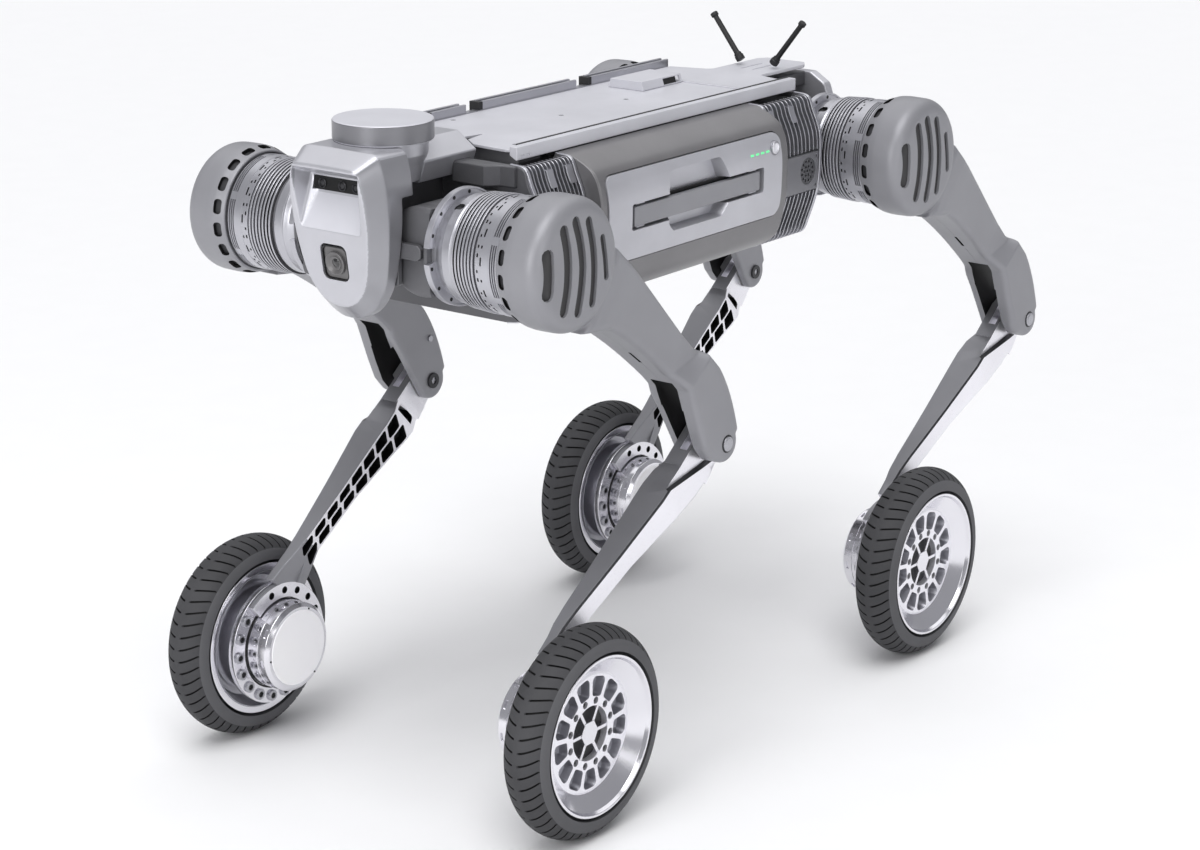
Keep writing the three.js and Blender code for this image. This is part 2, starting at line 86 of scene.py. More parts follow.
def shader(name, colour, roughness, metallic=0.0, coat=0.0, grain=1400.0, depth=0.00002,
           drift=0.06, specular=0.5):
    material = bpy.data.materials.new(name)
    material.use_nodes = True
    nodes = material.node_tree.nodes
    links = material.node_tree.links
    surface = nodes["Principled BSDF"]
    surface.inputs["Metallic"].default_value = metallic
    surface.inputs["Coat Weight"].default_value = coat
    surface.inputs["Coat Roughness"].default_value = 0.12
    surface.inputs["Specular IOR Level"].default_value = specular
    place = nodes.new("ShaderNodeTexCoord")
    cloud = nodes.new("ShaderNodeTexNoise")
    cloud.inputs["Scale"].default_value = 14.0
    cloud.inputs["Detail"].default_value = 4.0
    links.new(place.outputs["Object"], cloud.inputs["Vector"])
    tint = nodes.new("ShaderNodeValToRGB")
    tint.color_ramp.elements[0].position = 0.3
    tint.color_ramp.elements[1].position = 0.7
    for element, level in zip(tint.color_ramp.elements, (1 - drift, 1 + drift)):
        element.color = [min(1.0, c * level) for c in colour] + [1.0]
    links.new(cloud.outputs["Fac"], tint.inputs["Fac"])
    links.new(tint.outputs["Color"], surface.inputs["Base Color"])
    speck = nodes.new("ShaderNodeTexNoise")
    speck.inputs["Scale"].default_value = grain
    speck.inputs["Detail"].default_value = 2.0
    links.new(place.outputs["Object"], speck.inputs["Vector"])
    gloss = nodes.new("ShaderNodeMapRange")
    gloss.inputs["To Min"].default_value = max(0.03, roughness - 0.07)
    gloss.inputs["To Max"].default_value = min(1.0, roughness + 0.07)
    links.new(speck.outputs["Fac"], gloss.inputs["Value"])
    links.new(gloss.outputs["Result"], surface.inputs["Roughness"])
    bump = nodes.new("ShaderNodeBump")
    bump.inputs["Strength"].default_value = 0.5
    bump.inputs["Distance"].default_value = depth
    links.new(speck.outputs["Fac"], bump.inputs["Height"])
    links.new(bump.outputs["Normal"], surface.inputs["Normal"])
    return material


def grey(level, warmth=0.0):
    """A grey from its brightness on the screen, 0 to 255, slightly lavender unless warmed."""
    linear = (level / 255) ** 2.2
    return (linear * (1 + warmth), linear, linear * (1.07 - warmth * 2))


LOOKS = {}


def add_look(name, level, roughness, metallic=0.0, warmth=0.0, **more):
    LOOKS[name] = shader(name, grey(level, warmth), roughness, metallic, **more)


add_look("light_paint", 206, 0.42, 0.1, coat=0.12)
add_look("head_paint", 188, 0.33, 0.5, coat=0.2)
# A darker head paint: painted shade for the head's sides.
add_look("head_flank_shade", 158, 0.33, 0.6, coat=0.2)
add_look("panel_paint", 190, 0.36, 0.45, coat=0.15)
add_look("shell_paint", 128, 0.42, 0.6, warmth=0.02)
add_look("thigh_paint", 143, 0.45, 0.3, drift=0.04)
add_look("calf_paint", 136, 0.4, 0.5)
add_look("handle_paint", 145, 0.45, 0.3)
add_look("slate_paint", 98, 0.42, 0.4, drift=0.1)
# Dark grey painted shade for the hip's vents and valleys, the inside of the thigh's rim and the
# gaps between the heat-sink fins.
add_look("dark_paint", 66, 0.42, 0.3, drift=0.1)
# Near-black painted shade for the walls and floors of holes, pockets, slots and seams.
add_look("dark_lining", 22, 0.5, 0.1)
add_look("slot_grey", 58, 0.6, warmth=0.02)
add_look("bare_aluminium", 184, 0.36, 0.85, drift=0.03, depth=0.00001)
add_look("fin_aluminium", 190, 0.34, 0.9, grain=2200)
add_look("polished_metal", 228, 0.18, 1.0, warmth=0.01, grain=900, depth=0.000012, drift=0.03)
add_look("satin_metal", 240, 0.3, 0.75, warmth=0.01, drift=0.03)
add_look("white_blank", 253, 0.7, 0.0, warmth=0.01, drift=0.01)
add_look("pocket_metal", 176, 0.3, 0.9, drift=0.05)
add_look("steel", 172, 0.28, 1.0, grain=1800)
add_look("dark_steel", 66, 0.35, 0.8)
# A darker paint for the side of the scanner's cap: painted shade.
add_look("cap_side_shade", 130, 0.32, 0.75)
# Near-black painted shade for the floors and walls of the tyre's grooves.
add_look("groove_shade_black", 18, 0.7)
add_look("sensor_black", 26, 0.5, specular=0.25)
add_look("tyre_rubber", 67, 0.72, grain=3200, depth=0.00008, drift=0.14, specular=0.35)
add_look("tyre_side", 86, 0.75, grain=3200, depth=0.00004, drift=0.1)
add_look("black_plastic", 34, 0.48, grain=2400, depth=0.00005)
add_look("lens_glass", 30, 0.06, coat=1.0, depth=0.0)
add_look("lens_grey", 104, 0.4, 0.4, warmth=0.03, coat=0.2)


def glow(name, colour, strength):
    material = shader(name, colour, 0.3)
    surface = material.node_tree.nodes["Principled BSDF"]
    surface.inputs["Emission Color"].default_value = (*colour, 1.0)
    surface.inputs["Emission Strength"].default_value = strength
    return material


LOOKS["led_green"] = glow("led_green", (0.12, 0.62, 0.26), 0.8)


# ---- Outlines: lists of points in a plane.


def quadratic(start, control, end, count=8):
    spots = []
    for i in range(count + 1):
        t = i / count
        weights = ((1 - t) ** 2, 2 * t * (1 - t), t * t)
        spots.append(tuple(sum(w * p[k] for w, p in zip(weights, (start, control, end)))
                           for k in range(2)))
    return spots


def arc(a, b, radius, start, end, count=10):
    """Points on a circle round (a, b), between two angles in degrees."""
    angles = np.radians(np.linspace(start, end, count + 1))
    return [(a + radius * math.cos(t), b + radius * math.sin(t)) for t in angles]


def fillet(points, radius=0.0, closed=True, steps=4):
    """Rounds the corners. A point may carry its own radius as a third number."""
    out = []
    count = len(points)
    for i, point in enumerate(points):
        size = point[2] if len(point) > 2 else radius
        corner = np.array(point[:2], float)
        if size <= 0 or (not closed and i in (0, count - 1)):
            out.append(tuple(corner))
            continue
        back = np.array(points[i - 1][:2], float) - corner
        ahead = np.array(points[(i + 1) % count][:2], float) - corner
        back_length, ahead_length = np.hypot(*back), np.hypot(*ahead)
        back, ahead = back / back_length, ahead / ahead_length
        half = math.acos(float(np.clip(back @ ahead, -1, 1))) / 2
        if half > math.pi / 2 - 0.03:
            out.append(tuple(corner))
            continue
        reach = min(size / math.tan(half), 0.45 * min(back_length, ahead_length))
        size = reach * math.tan(half)
        middle = back + ahead
        centre = corner + middle / np.hypot(*middle) * size / math.sin(half)
        first = corner + back * reach - centre
        last = corner + ahead * reach - centre
        sweep = math.atan2(first[0] * last[1] - first[1] * last[0], first @ last)
        for k in range(steps + 1):
            turn = sweep * k / steps
            cos, sin = math.cos(turn), math.sin(turn)
            out.append((centre[0] + first[0] * cos - first[1] * sin,
                        centre[1] + first[0] * sin + first[1] * cos))
    return out


def rounded(a0, a1, b0, b1, radius, steps=5):
    return fillet([(a0, b0), (a1, b0), (a1, b1), (a0, b1)], radius, steps=steps)


def stadium(a0, b0, r0, a1, b1, r1, count=12):
    """A bar with round ends between two centres."""
    along = math.degrees(math.atan2(b1 - b0, a1 - a0))
    spread = math.degrees(math.acos((r0 - r1) / math.hypot(b1 - b0, a1 - a0)))
    return (arc(a0, b0, r0, along + spread, along - spread + 360, count)
            + arc(a1, b1, r1, along - spread, along + spread, count))


def bar_path(centres, half_width, count=6):
    """The outline of a bent bar with round ends, along a few centres."""
    spots = np.array(centres, float)
    ways = np.gradient(spots, axis=0)
    ways /= np.linalg.norm(ways, axis=1)[:, None]
    sides = np.stack([-ways[:, 1], ways[:, 0]], axis=1) * half_width
    last = math.degrees(math.atan2(ways[-1][1], ways[-1][0]))
    first = math.degrees(math.atan2(ways[0][1], ways[0][0]))
    return ([tuple(p) for p in spots - sides]
            + arc(*spots[-1], half_width, last - 90, last + 90, count)[1:-1]
            + [tuple(p) for p in (spots + sides)[::-1]]
            + arc(*spots[0], half_width, first + 90, first + 270, count)[1:-1])


def smooth_curve(points, per_span=6):
    """A Catmull-Rom curve through the points."""
    spots = np.array(points, float)
    ends = np.vstack([2 * spots[0] - spots[1], spots, 2 * spots[-1] - spots[-2]])
    out = []
    for i in range(len(spots) - 1):
        p0, p1, p2, p3 = ends[i:i + 4]
        for t in np.arange(per_span) / per_span:
            bend = (2 * p0 - 5 * p1 + 4 * p2 - p3) * t ** 2
            twist = (3 * p1 - p0 - 3 * p2 + p3) * t ** 3
            out.append(tuple(0.5 * (2 * p1 + (p2 - p0) * t + bend + twist)))
    out.append(tuple(spots[-1]))
    return out


def without_repeats(outline):
    """The outline without the points that lie on the one before."""
    spots = [tuple(p[:2]) for p in outline]
    return [p for i, p in enumerate(spots) if math.dist(p, spots[i - 1]) > 1e-3]


def area(outline):
    spots = np.array(outline, float)
    following = np.roll(spots, -1, axis=0)
    return 0.5 * float(np.sum(spots[:, 0] * following[:, 1] - following[:, 0] * spots[:, 1]))


def inset(outline, distance):
    """The outline, counterclockwise, moved inwards by a short distance."""
    spots = np.array(outline, float)
    before = spots - np.roll(spots, 1, axis=0)
    after = np.roll(spots, -1, axis=0) - spots
    before /= np.linalg.norm(before, axis=1)[:, None]
    after /= np.linalg.norm(after, axis=1)[:, None]
    inward = np.stack([-before[:, 1], before[:, 0]], 1) + np.stack([-after[:, 1], after[:, 0]], 1)
    size = np.linalg.norm(inward, axis=1)
    inward /= np.maximum(size, 1e-6)[:, None]
    return spots + inward * (distance / np.maximum(size / 2, 0.5))[:, None]


# ---- Solids, in millimetres.


def added(name, data):
    """A new object in the scene."""
    item = bpy.data.objects.new(name, data)
    bpy.context.scene.collection.objects.link(item)
    return item


def working(mesh):
    """A new object for a mesh that is being worked on."""
    return added("work", mesh)


def solid(verts, faces):
    mesh = bpy.data.meshes.new("work")
    mesh.from_pydata([tuple(v) for v in verts], [], faces)
    work = bmesh.new()
    work.from_mesh(mesh)
    bmesh.ops.remove_doubles(work, verts=work.verts, dist=1e-4)
    bmesh.ops.recalc_face_normals(work, faces=work.faces)
    work.to_mesh(mesh)
    work.free()
    return working(mesh)


def stacked(verts, count):
    """A solid from rings of equal count, one after another, closed at both ends."""
    faces = [list(range(count))[::-1], [len(verts) - count + i for i in range(count)]]
    for start in range(0, len(verts) - count, count):
        for i in range(count):
            j = (i + 1) % count
            faces.append([start + i, start + j, start + count + j, start + count + i])
    return solid(verts, faces)


def onto(axis, a, b, along):
    """A point of an outline in its plane, at a place along the third axis."""
    if axis == "X":
        return (along, a, b)
    if axis == "Y":
        return (a, along, b)
    return (a, b, along)


def slab(outline, low, high, axis="Y", edge=0.0, low_edge=None, steps=3):
    """An outline made thick along an axis, with rounded edges."""
    cleaned = without_repeats(outline)
    if area(cleaned) < 0:
        cleaned.reverse()
    low_edge = edge if low_edge is None else low_edge
    layers = []
    for radius, start, way in ((low_edge, low, 1), (edge, high, -1)):
        side = []
        if radius > 0:
            for k in range(steps + 1):
                turn = math.pi / 2 * k / steps
                side.append((radius * (1 - math.sin(turn)),
                             start + way * radius * (1 - math.cos(turn))))
        else:
            side.append((0.0, start))
        layers += side if way > 0 else side[::-1]
    verts = []
    for distance, along in layers:
        ring = inset(cleaned, distance) if distance > 0 else cleaned
        verts += [onto(axis, a, b, along) for a, b in ring]
    return stacked(verts, len(cleaned))


def block(x0, x1, y0, y1, z0, z1, edge=0.0):
    return slab([(x0, z0), (x1, z0), (x1, z1), (x0, z1)], y0, y1, "Y", edge)


def loft(rings, axis="Y"):
    """A solid through outlines of equal count, each with its place along the axis."""
    verts = [onto(axis, a, b, along) for outline, along in rings for a, b in outline]
    return stacked(verts, len(rings[0][0]))


def turned(profile, sides=96, start=0.0, end=360.0):
    """A solid of revolution about Y from (radius, y) pairs. It may cover only a sector."""
    full = end - start >= 360
    angles = np.radians(np.linspace(start, end, sides + (0 if full else 1), endpoint=not full))
    rows = []
    verts = []
    for radius, y in profile:
        if radius < 1e-6 and full:
            rows.append([len(verts)] * len(angles))
            verts.append((0, y, 0))
            continue
        rows.append(list(range(len(verts), len(verts) + len(angles))))
        verts += [(radius * math.cos(t), y, radius * math.sin(t)) for t in angles]
    closed = profile[0][0] > 1e-6 and profile[-1][0] > 1e-6
    pairs = list(zip(rows, rows[1:])) + ([(rows[-1], rows[0])] if closed else [])
    faces = []
    for low, high in pairs:
        for i in range(len(angles) if full else len(angles) - 1):
            j = (i + 1) % len(angles)
            face = [low[i], low[j], high[j], high[i]]
            face = [v for k, v in enumerate(face) if v != face[k - 1]]
            if len(set(face)) > 2:
                faces.append(face)
    if not full:
        faces += [[row[0] for row in rows], [row[-1] for row in rows][::-1]]
    return solid(verts, faces)


def lathe(profile, sides=96, steps=4):
    """A solid of revolution whose profile may carry a radius at each corner."""
    return turned(fillet(profile, steps=steps), sides)


def rod(radius, y0, y1, x=0.0, z=0.0, sides=32, edge=0.0):
    return slab(arc(x, z, radius, 0, 360 - 360 / sides, sides - 1), y0, y1, "Y", edge)


def moved(made, *matrices):
    for matrix in matrices:
        made.data.transform(matrix)
    return made


def facing_front(made, x, y, z):
    """Turns a solid of revolution from the Y axis to the X axis, and moves it."""
    return moved(made, spin(-90, "Z"), shift(x, y, z))


def facing_up(made, x, y=0.0):
    """Turns a solid of revolution from the Y axis to the Z axis, and moves it."""
    return moved(made, spin(90, "X"), shift(x, y))


def slimmed(made, share):
    """Scales a solid towards the Y axis."""
    return moved(made, Matrix.Diagonal((share, 1, share, 1)))


def shift(x=0.0, y=0.0, z=0.0):
    return Matrix.Translation((x, y, z))


def spin(degrees, axis):
    return Matrix.Rotation(math.radians(degrees), 4, axis)


def about(degrees, axis, x=0.0, y=0.0, z=0.0):
    return shift(x, y, z) @ spin(degrees, axis) @ shift(-x, -y, -z)


def again(made, matrix):
    """A copy of a solid, moved."""
    return moved(working(made.data.copy()), matrix)


def mirror_image(made):
    """A copy of a solid on the other side of the robot."""
    twin = again(made, Matrix.Diagonal((1, -1, 1, 1)))
    twin.data.flip_normals()
    return twin


def around(made, count, axis="Y", start=0.0, step=None):
    """Copies of a solid round an axis, as one object."""
    step = 360 / count if step is None else step
    copies = [again(made, spin(start + step * i, axis)) for i in range(count)]
    discard(made)
    return joined(copies)


def discard(made):
    data = made.data
    bpy.data.objects.remove(made)
    bpy.data.meshes.remove(data)


def joined(parts):
    """Several solids as one object, without merging them."""
    whole = bmesh.new()
    for part in parts:
        whole.from_mesh(part.data)
    mesh = bpy.data.meshes.new("work")
    whole.to_mesh(mesh)
    whole.free()
    for part in parts:
        discard(part)
    return working(mesh)


def settle(made):
    """Applies a working solid's modifiers."""
    bpy.context.view_layer.update()
    state = made.evaluated_get(bpy.context.evaluated_depsgraph_get())
    mesh = bpy.data.meshes.new_from_object(state)
    old = made.data
    made.modifiers.clear()
    made.data = mesh
    bpy.data.meshes.remove(old)
    return made


def combined(made, tools, operation):
    prepared(made)
    for tool in tools:
        prepared(tool)
        change = made.modifiers.new("combine", "BOOLEAN")
        change.operation = operation
        change.solver = "MANIFOLD"
        change.object = tool
    settle(made)
    for tool in tools:
        discard(tool)
    return made


def inked(made):
    """The faces that this solid leaves in another take that piece's second material."""
    for face in made.data.polygons:
        face.material_index = 1
    return made


def repainted(made, test):
    """Gives the second material to the faces whose centre and normal pass a test."""
    prepared(made)
    for face in made.data.polygons:
        if test(face.center, face.normal):
            face.material_index = 1
    return made


def prepared(made):
    """Two places for materials, so that a face may name either."""
    while len(made.data.materials) < 2:
        made.data.materials.append(None)
    return made


def carved(made, *tools):
    return combined(made, tools, "DIFFERENCE")


def united(made, *tools):
    return combined(made, tools, "UNION")


def kept(made, *tools):
    return combined(made, tools, "INTERSECT")


def softened(made, size, rounds=4, factor=0.5):
    """Remeshes a solid to even small faces and smooths its edges away."""
    change = made.modifiers.new("even", "REMESH")
    change.mode = "VOXEL"
    change.voxel_size = size
    smooth = made.modifiers.new("smooth", "SMOOTH")
    smooth.iterations = rounds
    smooth.factor = factor
    return settle(made)


def eased(made, width, angle=35, steps=2):
    """Bevels a solid's sharp edges."""
    change = made.modifiers.new("ease", "BEVEL")
    change.width = width
    change.segments = steps
    change.limit_method = "ANGLE"
    change.angle_limit = math.radians(angle)
    change.use_clamp_overlap = True
    return settle(made)


# ---- Placing pieces.


def placed(name, made, look, body, matrix, stands_for=(), sharp=38):
    """Brings a working solid to its place in metres and makes it a piece of the object."""
    mirrored = matrix.determinant() < 0
    mesh = made.data.copy()
    mesh.transform(METRES @ matrix)
    if mirrored:
        mesh.flip_normals()
    looks = (look,) if isinstance(look, str) else look
    indices = [min(face.material_index, len(looks) - 1) for face in mesh.polygons]
    mesh.materials.clear()
    for each in looks:
        mesh.materials.append(LOOKS[each])
    mesh.polygons.foreach_set("material_index", indices)
    mesh.shade_smooth()
    mesh.set_sharp_from_angle(angle=math.radians(sharp))
    mesh.name = name
    item = added(name, mesh)
    weighted = item.modifiers.new("even_normals", "WEIGHTED_NORMAL")
    weighted.keep_sharp = True
    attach(item, body)
    if stands_for:
        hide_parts(*stands_for)
    return item


TRUNK = Matrix.Translation((TRUNK_X, 0, 0))


def trunk_piece(name, made, look, stands_for=(), body="trunk", sharp=38):
    placed(name, made, look, body, TRUNK, stands_for, sharp)
    discard(made)


# Each leg piece is made once, for a left front leg, and copied to the four legs.
LEG_PIECES = []


def leg_piece(name, made, look, frame_name, body, slot, stands_for=(), sharp=38):
    LEG_PIECES.append((name, made, look, frame_name, body, slot, stands_for, sharp))


def leg_frames(leg):
    """The places of a leg's hip, thigh, calf and wheel frames, from its joints."""
    hip, knee, wheel = (
        Vector(JOINTS[f"{leg}_{joint}"]["pos_m"]) * 1000
        for joint in ("hip_pitch", "knee", "wheel_spin"))
    side = 1 if hip.y > 0 else -1
    thigh_lean = math.degrees(math.atan2(hip.x - knee.x, hip.z - knee.z))
    calf_lean = math.degrees(math.atan2(wheel.x - knee.x, knee.z - wheel.z))
    mirror = Matrix.Diagonal((1, side, 1, 1))
    return {
        "hip": shift(hip.x, 0, hip.z) @ mirror,
        "thigh": shift(hip.x, 0, hip.z) @ spin(thigh_lean, "Y") @ mirror,
        "calf": shift(knee.x, 0, knee.z) @ spin(-calf_lean, "Y") @ mirror,
        "wheel": shift(wheel.x, 0, wheel.z) @ mirror,
    }


def build_legs():
    for leg in ("front_left", "front_right", "rear_left", "rear_right"):
        places = leg_frames(leg)
        flip = Matrix.Identity(4) if leg.startswith("front") else Matrix.Diagonal((-1, 1, 1, 1))
        for name, made, look, frame_name, body, slot, stands_for, sharp in LEG_PIECES:
            matrix = places[frame_name.replace("trunkward", "hip")]
            if frame_name == "trunkward":
                matrix = matrix @ flip
            placed(f"{leg}_{name}", made, look, f"{leg}_{body}", matrix,
                   [f"{leg}_{node}" for node in stands_for], sharp)
    for entry in LEG_PIECES:
        discard(entry[1])


# ---- The wheel, in a frame with the wheel's axis along Y.

TYRE_RADIUS = 112.4
TYRE_MIDDLE = 231.4
TYRE_HALF_WIDTH = 25.6
BEAD_RADIUS = 88.6
# The grooves start beside the rib and end on the shoulder, in degrees round the section.
RIB_EDGE = 6
GROOVE_END = 62
GROOVE_DEPTH = 2.8
GROOVE_SWEEP = 8.5
CHEVRONS = 52


def crown_radius(phi):
    """The tyre's radius at an angle round its section, 0 at the rib."""
    return BEAD_RADIUS + (TYRE_RADIUS - BEAD_RADIUS) * math.cos(phi) ** 0.94


def tyre():
    """A rounded tyre with thin curved grooves in a chevron on each side of a small rib."""
    # Columns of one pitch: each side of a groove has its own, so the groove stays crisp.
    columns = (-0.12, -0.085, -0.055, 0.055, 0.085, 0.12, 0.24, 0.4, 0.56, 0.72)
    in_groove = (0, 0, 1, 1, 0, 0, 0, 0, 0, 0)
    angles = np.concatenate([
        np.linspace(-90, -62, 8), np.linspace(-58, -8, 22), (-6, -3, 0, 3, 6),
        np.linspace(8, 58, 22), np.linspace(62, 90, 8)])
    inner = [(87.6, 249.0), (82.6, 245.6), (80.5, 243.2), (80.5, 219.8), (82.6, 217.4),
             (87.6, 213.8)]
    verts = []
    for pitch in range(CHEVRONS):
        for column, deep in zip(columns, in_groove):
            base = 2 * math.pi * (pitch + column) / CHEVRONS
            for degrees in angles:
                lean = min(max((abs(degrees) - RIB_EDGE) / 50, 0), 1)
                turn = base - GROOVE_SWEEP / TYRE_RADIUS * lean ** 1.3
                depth = GROOVE_DEPTH * deep * np.clip((abs(degrees) - RIB_EDGE) / 4, 0, 1)
                depth *= np.clip((GROOVE_END - abs(degrees)) / 6, 0, 1)
                phi = math.radians(degrees)
                radius = crown_radius(phi) - depth * math.cos(phi)
                y = TYRE_MIDDLE + (TYRE_HALF_WIDTH - depth * 0.6) * math.sin(phi)
                # A shallow step marks the bead beside the rim.
                if abs(degrees) > 84:
                    radius -= 0.4
                verts.append((radius * math.cos(turn), y, -radius * math.sin(turn)))
            for radius, y in inner:
                turn = base - GROOVE_SWEEP / TYRE_RADIUS
                verts.append((radius * math.cos(turn), y, -radius * math.sin(turn)))
    ring = len(angles) + len(inner)
    total = CHEVRONS * len(columns)
    faces = []
    for i in range(total):
        j = (i + 1) % total
        for k in range(ring):
            m = (k + 1) % ring
            faces.append([i * ring + k, j * ring + k, j * ring + m, i * ring + m])
    # The faces inside the grooves take the near-black grey: painted shade in the grooves.
    made = repainted(solid(verts, faces), lambda c, n: in_a_groove(c))
    # The plain side walls are a lighter grey.
    for face in made.data.polygons:
        if abs(face.center.y - TYRE_MIDDLE) > 22.2 and face.material_index == 0:
            face.material_index = 2
    return made


def in_a_groove(spot):
    """Whether a point lies below the tyre's crown, in one of its grooves."""
    phi = math.asin(min(max((spot.y - TYRE_MIDDLE) / TYRE_HALF_WIDTH, -1), 1))
    from_axis = math.hypot(spot.x, spot.z)
    return abs(phi) < math.radians(GROOVE_END) and 100 < from_axis < crown_radius(phi) - 1.1


def rim_pocket():
    """One rounded pocket of the ring of thirteen, tapering towards its floor."""
    def outline(margin):
        inner, outer = 39.5 + margin, 59.5 - margin
        low, high = math.radians(10.0), math.radians(11.4)
        return fillet([
            (inner * math.cos(low), -inner * math.sin(low) + margin, 3.2),
            (outer, -outer * math.sin(high) + margin * 1.2, 5.5),
            (outer, outer * math.sin(high) - margin * 1.2, 5.5),
            (inner * math.cos(low), inner * math.sin(low) - margin, 3.2)], steps=4)
    return loft([(outline(1.6), 231.6), (outline(0.4), 238.4), (outline(-0.6), 243)])


def build_wheel():
    leg_piece("tyre_tread", tyre(), ("tyre_rubber", "groove_shade_black", "tyre_side"), "wheel", "wheel",
              "tyre_rubber", ["tyre"], sharp=50)
    barrel = lathe([
        (64, 229), (70, 229), (77, 206.4, 2), (85.2, 206.2, 1), (84.4, 212, 2), (79.4, 220, 3),
        (79.4, 243, 3), (84, 249, 2), (85.2, 256.4, 0.8), (82.2, 256.4, 0.8), (80, 252.5, 1.5),
        (63.5, 240.2, 2.5), (61.5, 240.9)], 144, steps=3)
    leg_piece("rim_barrel", barrel, "polished_metal", "wheel", "wheel", "polished_metal", ["rim"])
    plate = lathe([(0, 229.4), (65, 229.4), (65, 240.2, 0.6), (62, 241, 0.8), (36.5, 241),
                   (28.8, 241, 0.8), (28.8, 233.2), (0, 233.2)], 144, steps=2)
    pockets = inked(around(rim_pocket(), 13, start=6))
    holes = around(rod(3.9, 234, 243, 34.4, 0, 20), 12, start=15)
    plate = carved(plate, pockets, holes)
    leg_piece("rim_plate", plate, ("satin_metal", "pocket_metal"), "wheel", "wheel",
              "polished_metal")
    boss = slab(arc(0, 0, 14, 0, 300, 5), 233.1, 240.4, "Y", 0.7)
    arm = block(11, 29.2, 233.2, 239.6, -1.9, 1.9, 0.5)
    leg_piece("rim_star", joined([boss, around(arm, 6)]), "polished_metal", "wheel", "wheel",
              "polished_metal")
    # The black floor of the centre recess and the black plugs at the bottom of the bolt holes are
    # painted shade.
    floor = joined([rod(28.6, 232.9, 233.6, 0, 0, 64),
                    around(rod(3.7, 233.9, 238.0, 34.4, 0, 20, 0.4), 12, start=15)])
    leg_piece("rim_recess", floor, "black_plastic", "wheel", "wheel", "black_plastic")
    dish = lathe([(50.4, 229.3), (50.4, 226), (68, 225, 2), (76.6, 205.9, 1), (77.4, 206),
                  (69.6, 229.3)], 120, steps=3)
    leg_piece("rim_dish", dish, "bare_aluminium", "wheel", "wheel", "polished_metal")


def build_hub():
    body = lathe([
        (0, 157.3), (45.4, 157.3, 0.6), (49.5, 161, 1.2), (49.5, 171), (49, 171.4), (49, 172.2),
        (49.5, 172.6), (49.5, 188.4), (52, 188.4), (52, 187.6), (53, 187.6), (53, 188.4),
        (69, 188.4, 0.8), (69, 196, 1.5), (61.5, 199.5, 2), (61.5, 224.4, 1), (0, 224.4)],
        128, steps=2)
    slots = around(slab(rounded(163.6, 167.2, -5, 5, 1.7), 47.6, 52, "X"), 9, start=8)
    ticks = around(slab(rounded(176.2, 178.0, -2.5, 2.5, 0.8), 48.2, 52, "X"), 18, start=3)
    body = carved(body, slots, ticks)
    leg_piece("hub_case", body, "polished_metal", "wheel", "shin", "polished_metal", ["hub_motor"])

    def bolt_ring(radius, low, high, sides, edge=0.0):
        bolt = rod(radius, low, high, 60.5, 0, sides, edge)
        return around(bolt, 9, start=-38, step=19.5)

    lugs = carved(bolt_ring(6.2, 185.4, 189.4, 24, 0.8), bolt_ring(3.5, 185.0, 188.2, 16))
    leg_piece("hub_lugs", lugs, "steel", "wheel", "shin", "polished_metal")
    # The dark discs at the bottom of the bolt sockets, the small dark dots and the dark ring in
    # the seam groove are painted shade.
    sockets = bolt_ring(3.3, 187.0, 187.8, 16)
    dots = around(rod(1.1, 156.9, 157.6, 43.8, 0, 12), 3, start=5)
    seam = turned([(49.7, 188.0), (51.8, 188.0), (51.8, 188.7), (49.7, 188.7)], 96)
    leg_piece("hub_sockets", joined([sockets, dots, seam]), "dark_lining", "wheel", "shin",
              "black_plastic")
    blank = lathe([(0, 156.7), (41.6, 156.7, 0.4), (42, 157.4), (0, 157.6)], 96, steps=2)
    leg_piece("hub_blank", blank, "white_blank", "wheel", "shin", "polished_metal")


# ---- The calf, hanging straight down from the knee: +X is its front.

CALF_INNER_Y = 176.5
CALF_OUTER_Y = 213
EAR_INNER_Y = 185.3
# The plate at the foot, which the hub is bolted to.
FOOT_RADIUS = 68
FOOT_INNER_Y = 181


def calf_outer_y(z):
    """The outboard face comes in from the knee to the foot plate."""
    return CALF_OUTER_Y - 20 * min(max((-96 - z) / 164, 0), 1)


def calf_front(z):
    return float(np.interp(-z, (26, 90, 180, 270, 330), (20, 31, 42.5, 57, 66)))


def calf_back(z):
    return float(np.interp(-z, (26, 56, 100, 170, 250, 284, 310),
                           (-24, -20, -5, 14, 27, 14, -24)))


def calf_beam():
    """The beam as a stack of rounded sections down its length."""
    sections = []
    for z in (-24, -30, -44, -60, -80, -96, -130, -170, -210, -246, -268, -284, -306):
        front = calf_front(z)
        back = min(calf_back(z), front - 12)
        inner = float(np.interp(-z, (48, 64, 262, 290), (
            EAR_INNER_Y, CALF_INNER_Y, CALF_INNER_Y, FOOT_INNER_Y + 0.2)))
        outer = calf_outer_y(z)
        outline = fillet([(back, inner, 1.2), (front, inner, 1.2), (front, outer - 2.0, 0.5),
                          (front - 1.8, outer, 0.5), (back, outer, 4.0)], steps=3)
        sections.append((outline, z))
    return loft(sections, "Z")


def beam_pocket(z, half, side):
    """A pocket in the inboard face: side -1 is the rear row and 1 the front row."""
    def spot(at, share):
        front, back = calf_front(at) - 3.0, calf_back(at) + 3.0
        middle = (front + back) / 2 + 0.5
        return (middle + side * 1.1 if share == 0 else (front if side > 0 else back), at)
    corners = [spot(z - half - 3 * side, 0), spot(z - half + 5 * side, 1),
               spot(z + half + 5 * side, 1), spot(z + half - 3 * side, 0)]
    outline = fillet(corners, 2.4, steps=3)
    return slab(outline, CALF_INNER_Y - 4, CALF_INNER_Y + 11, "Y")


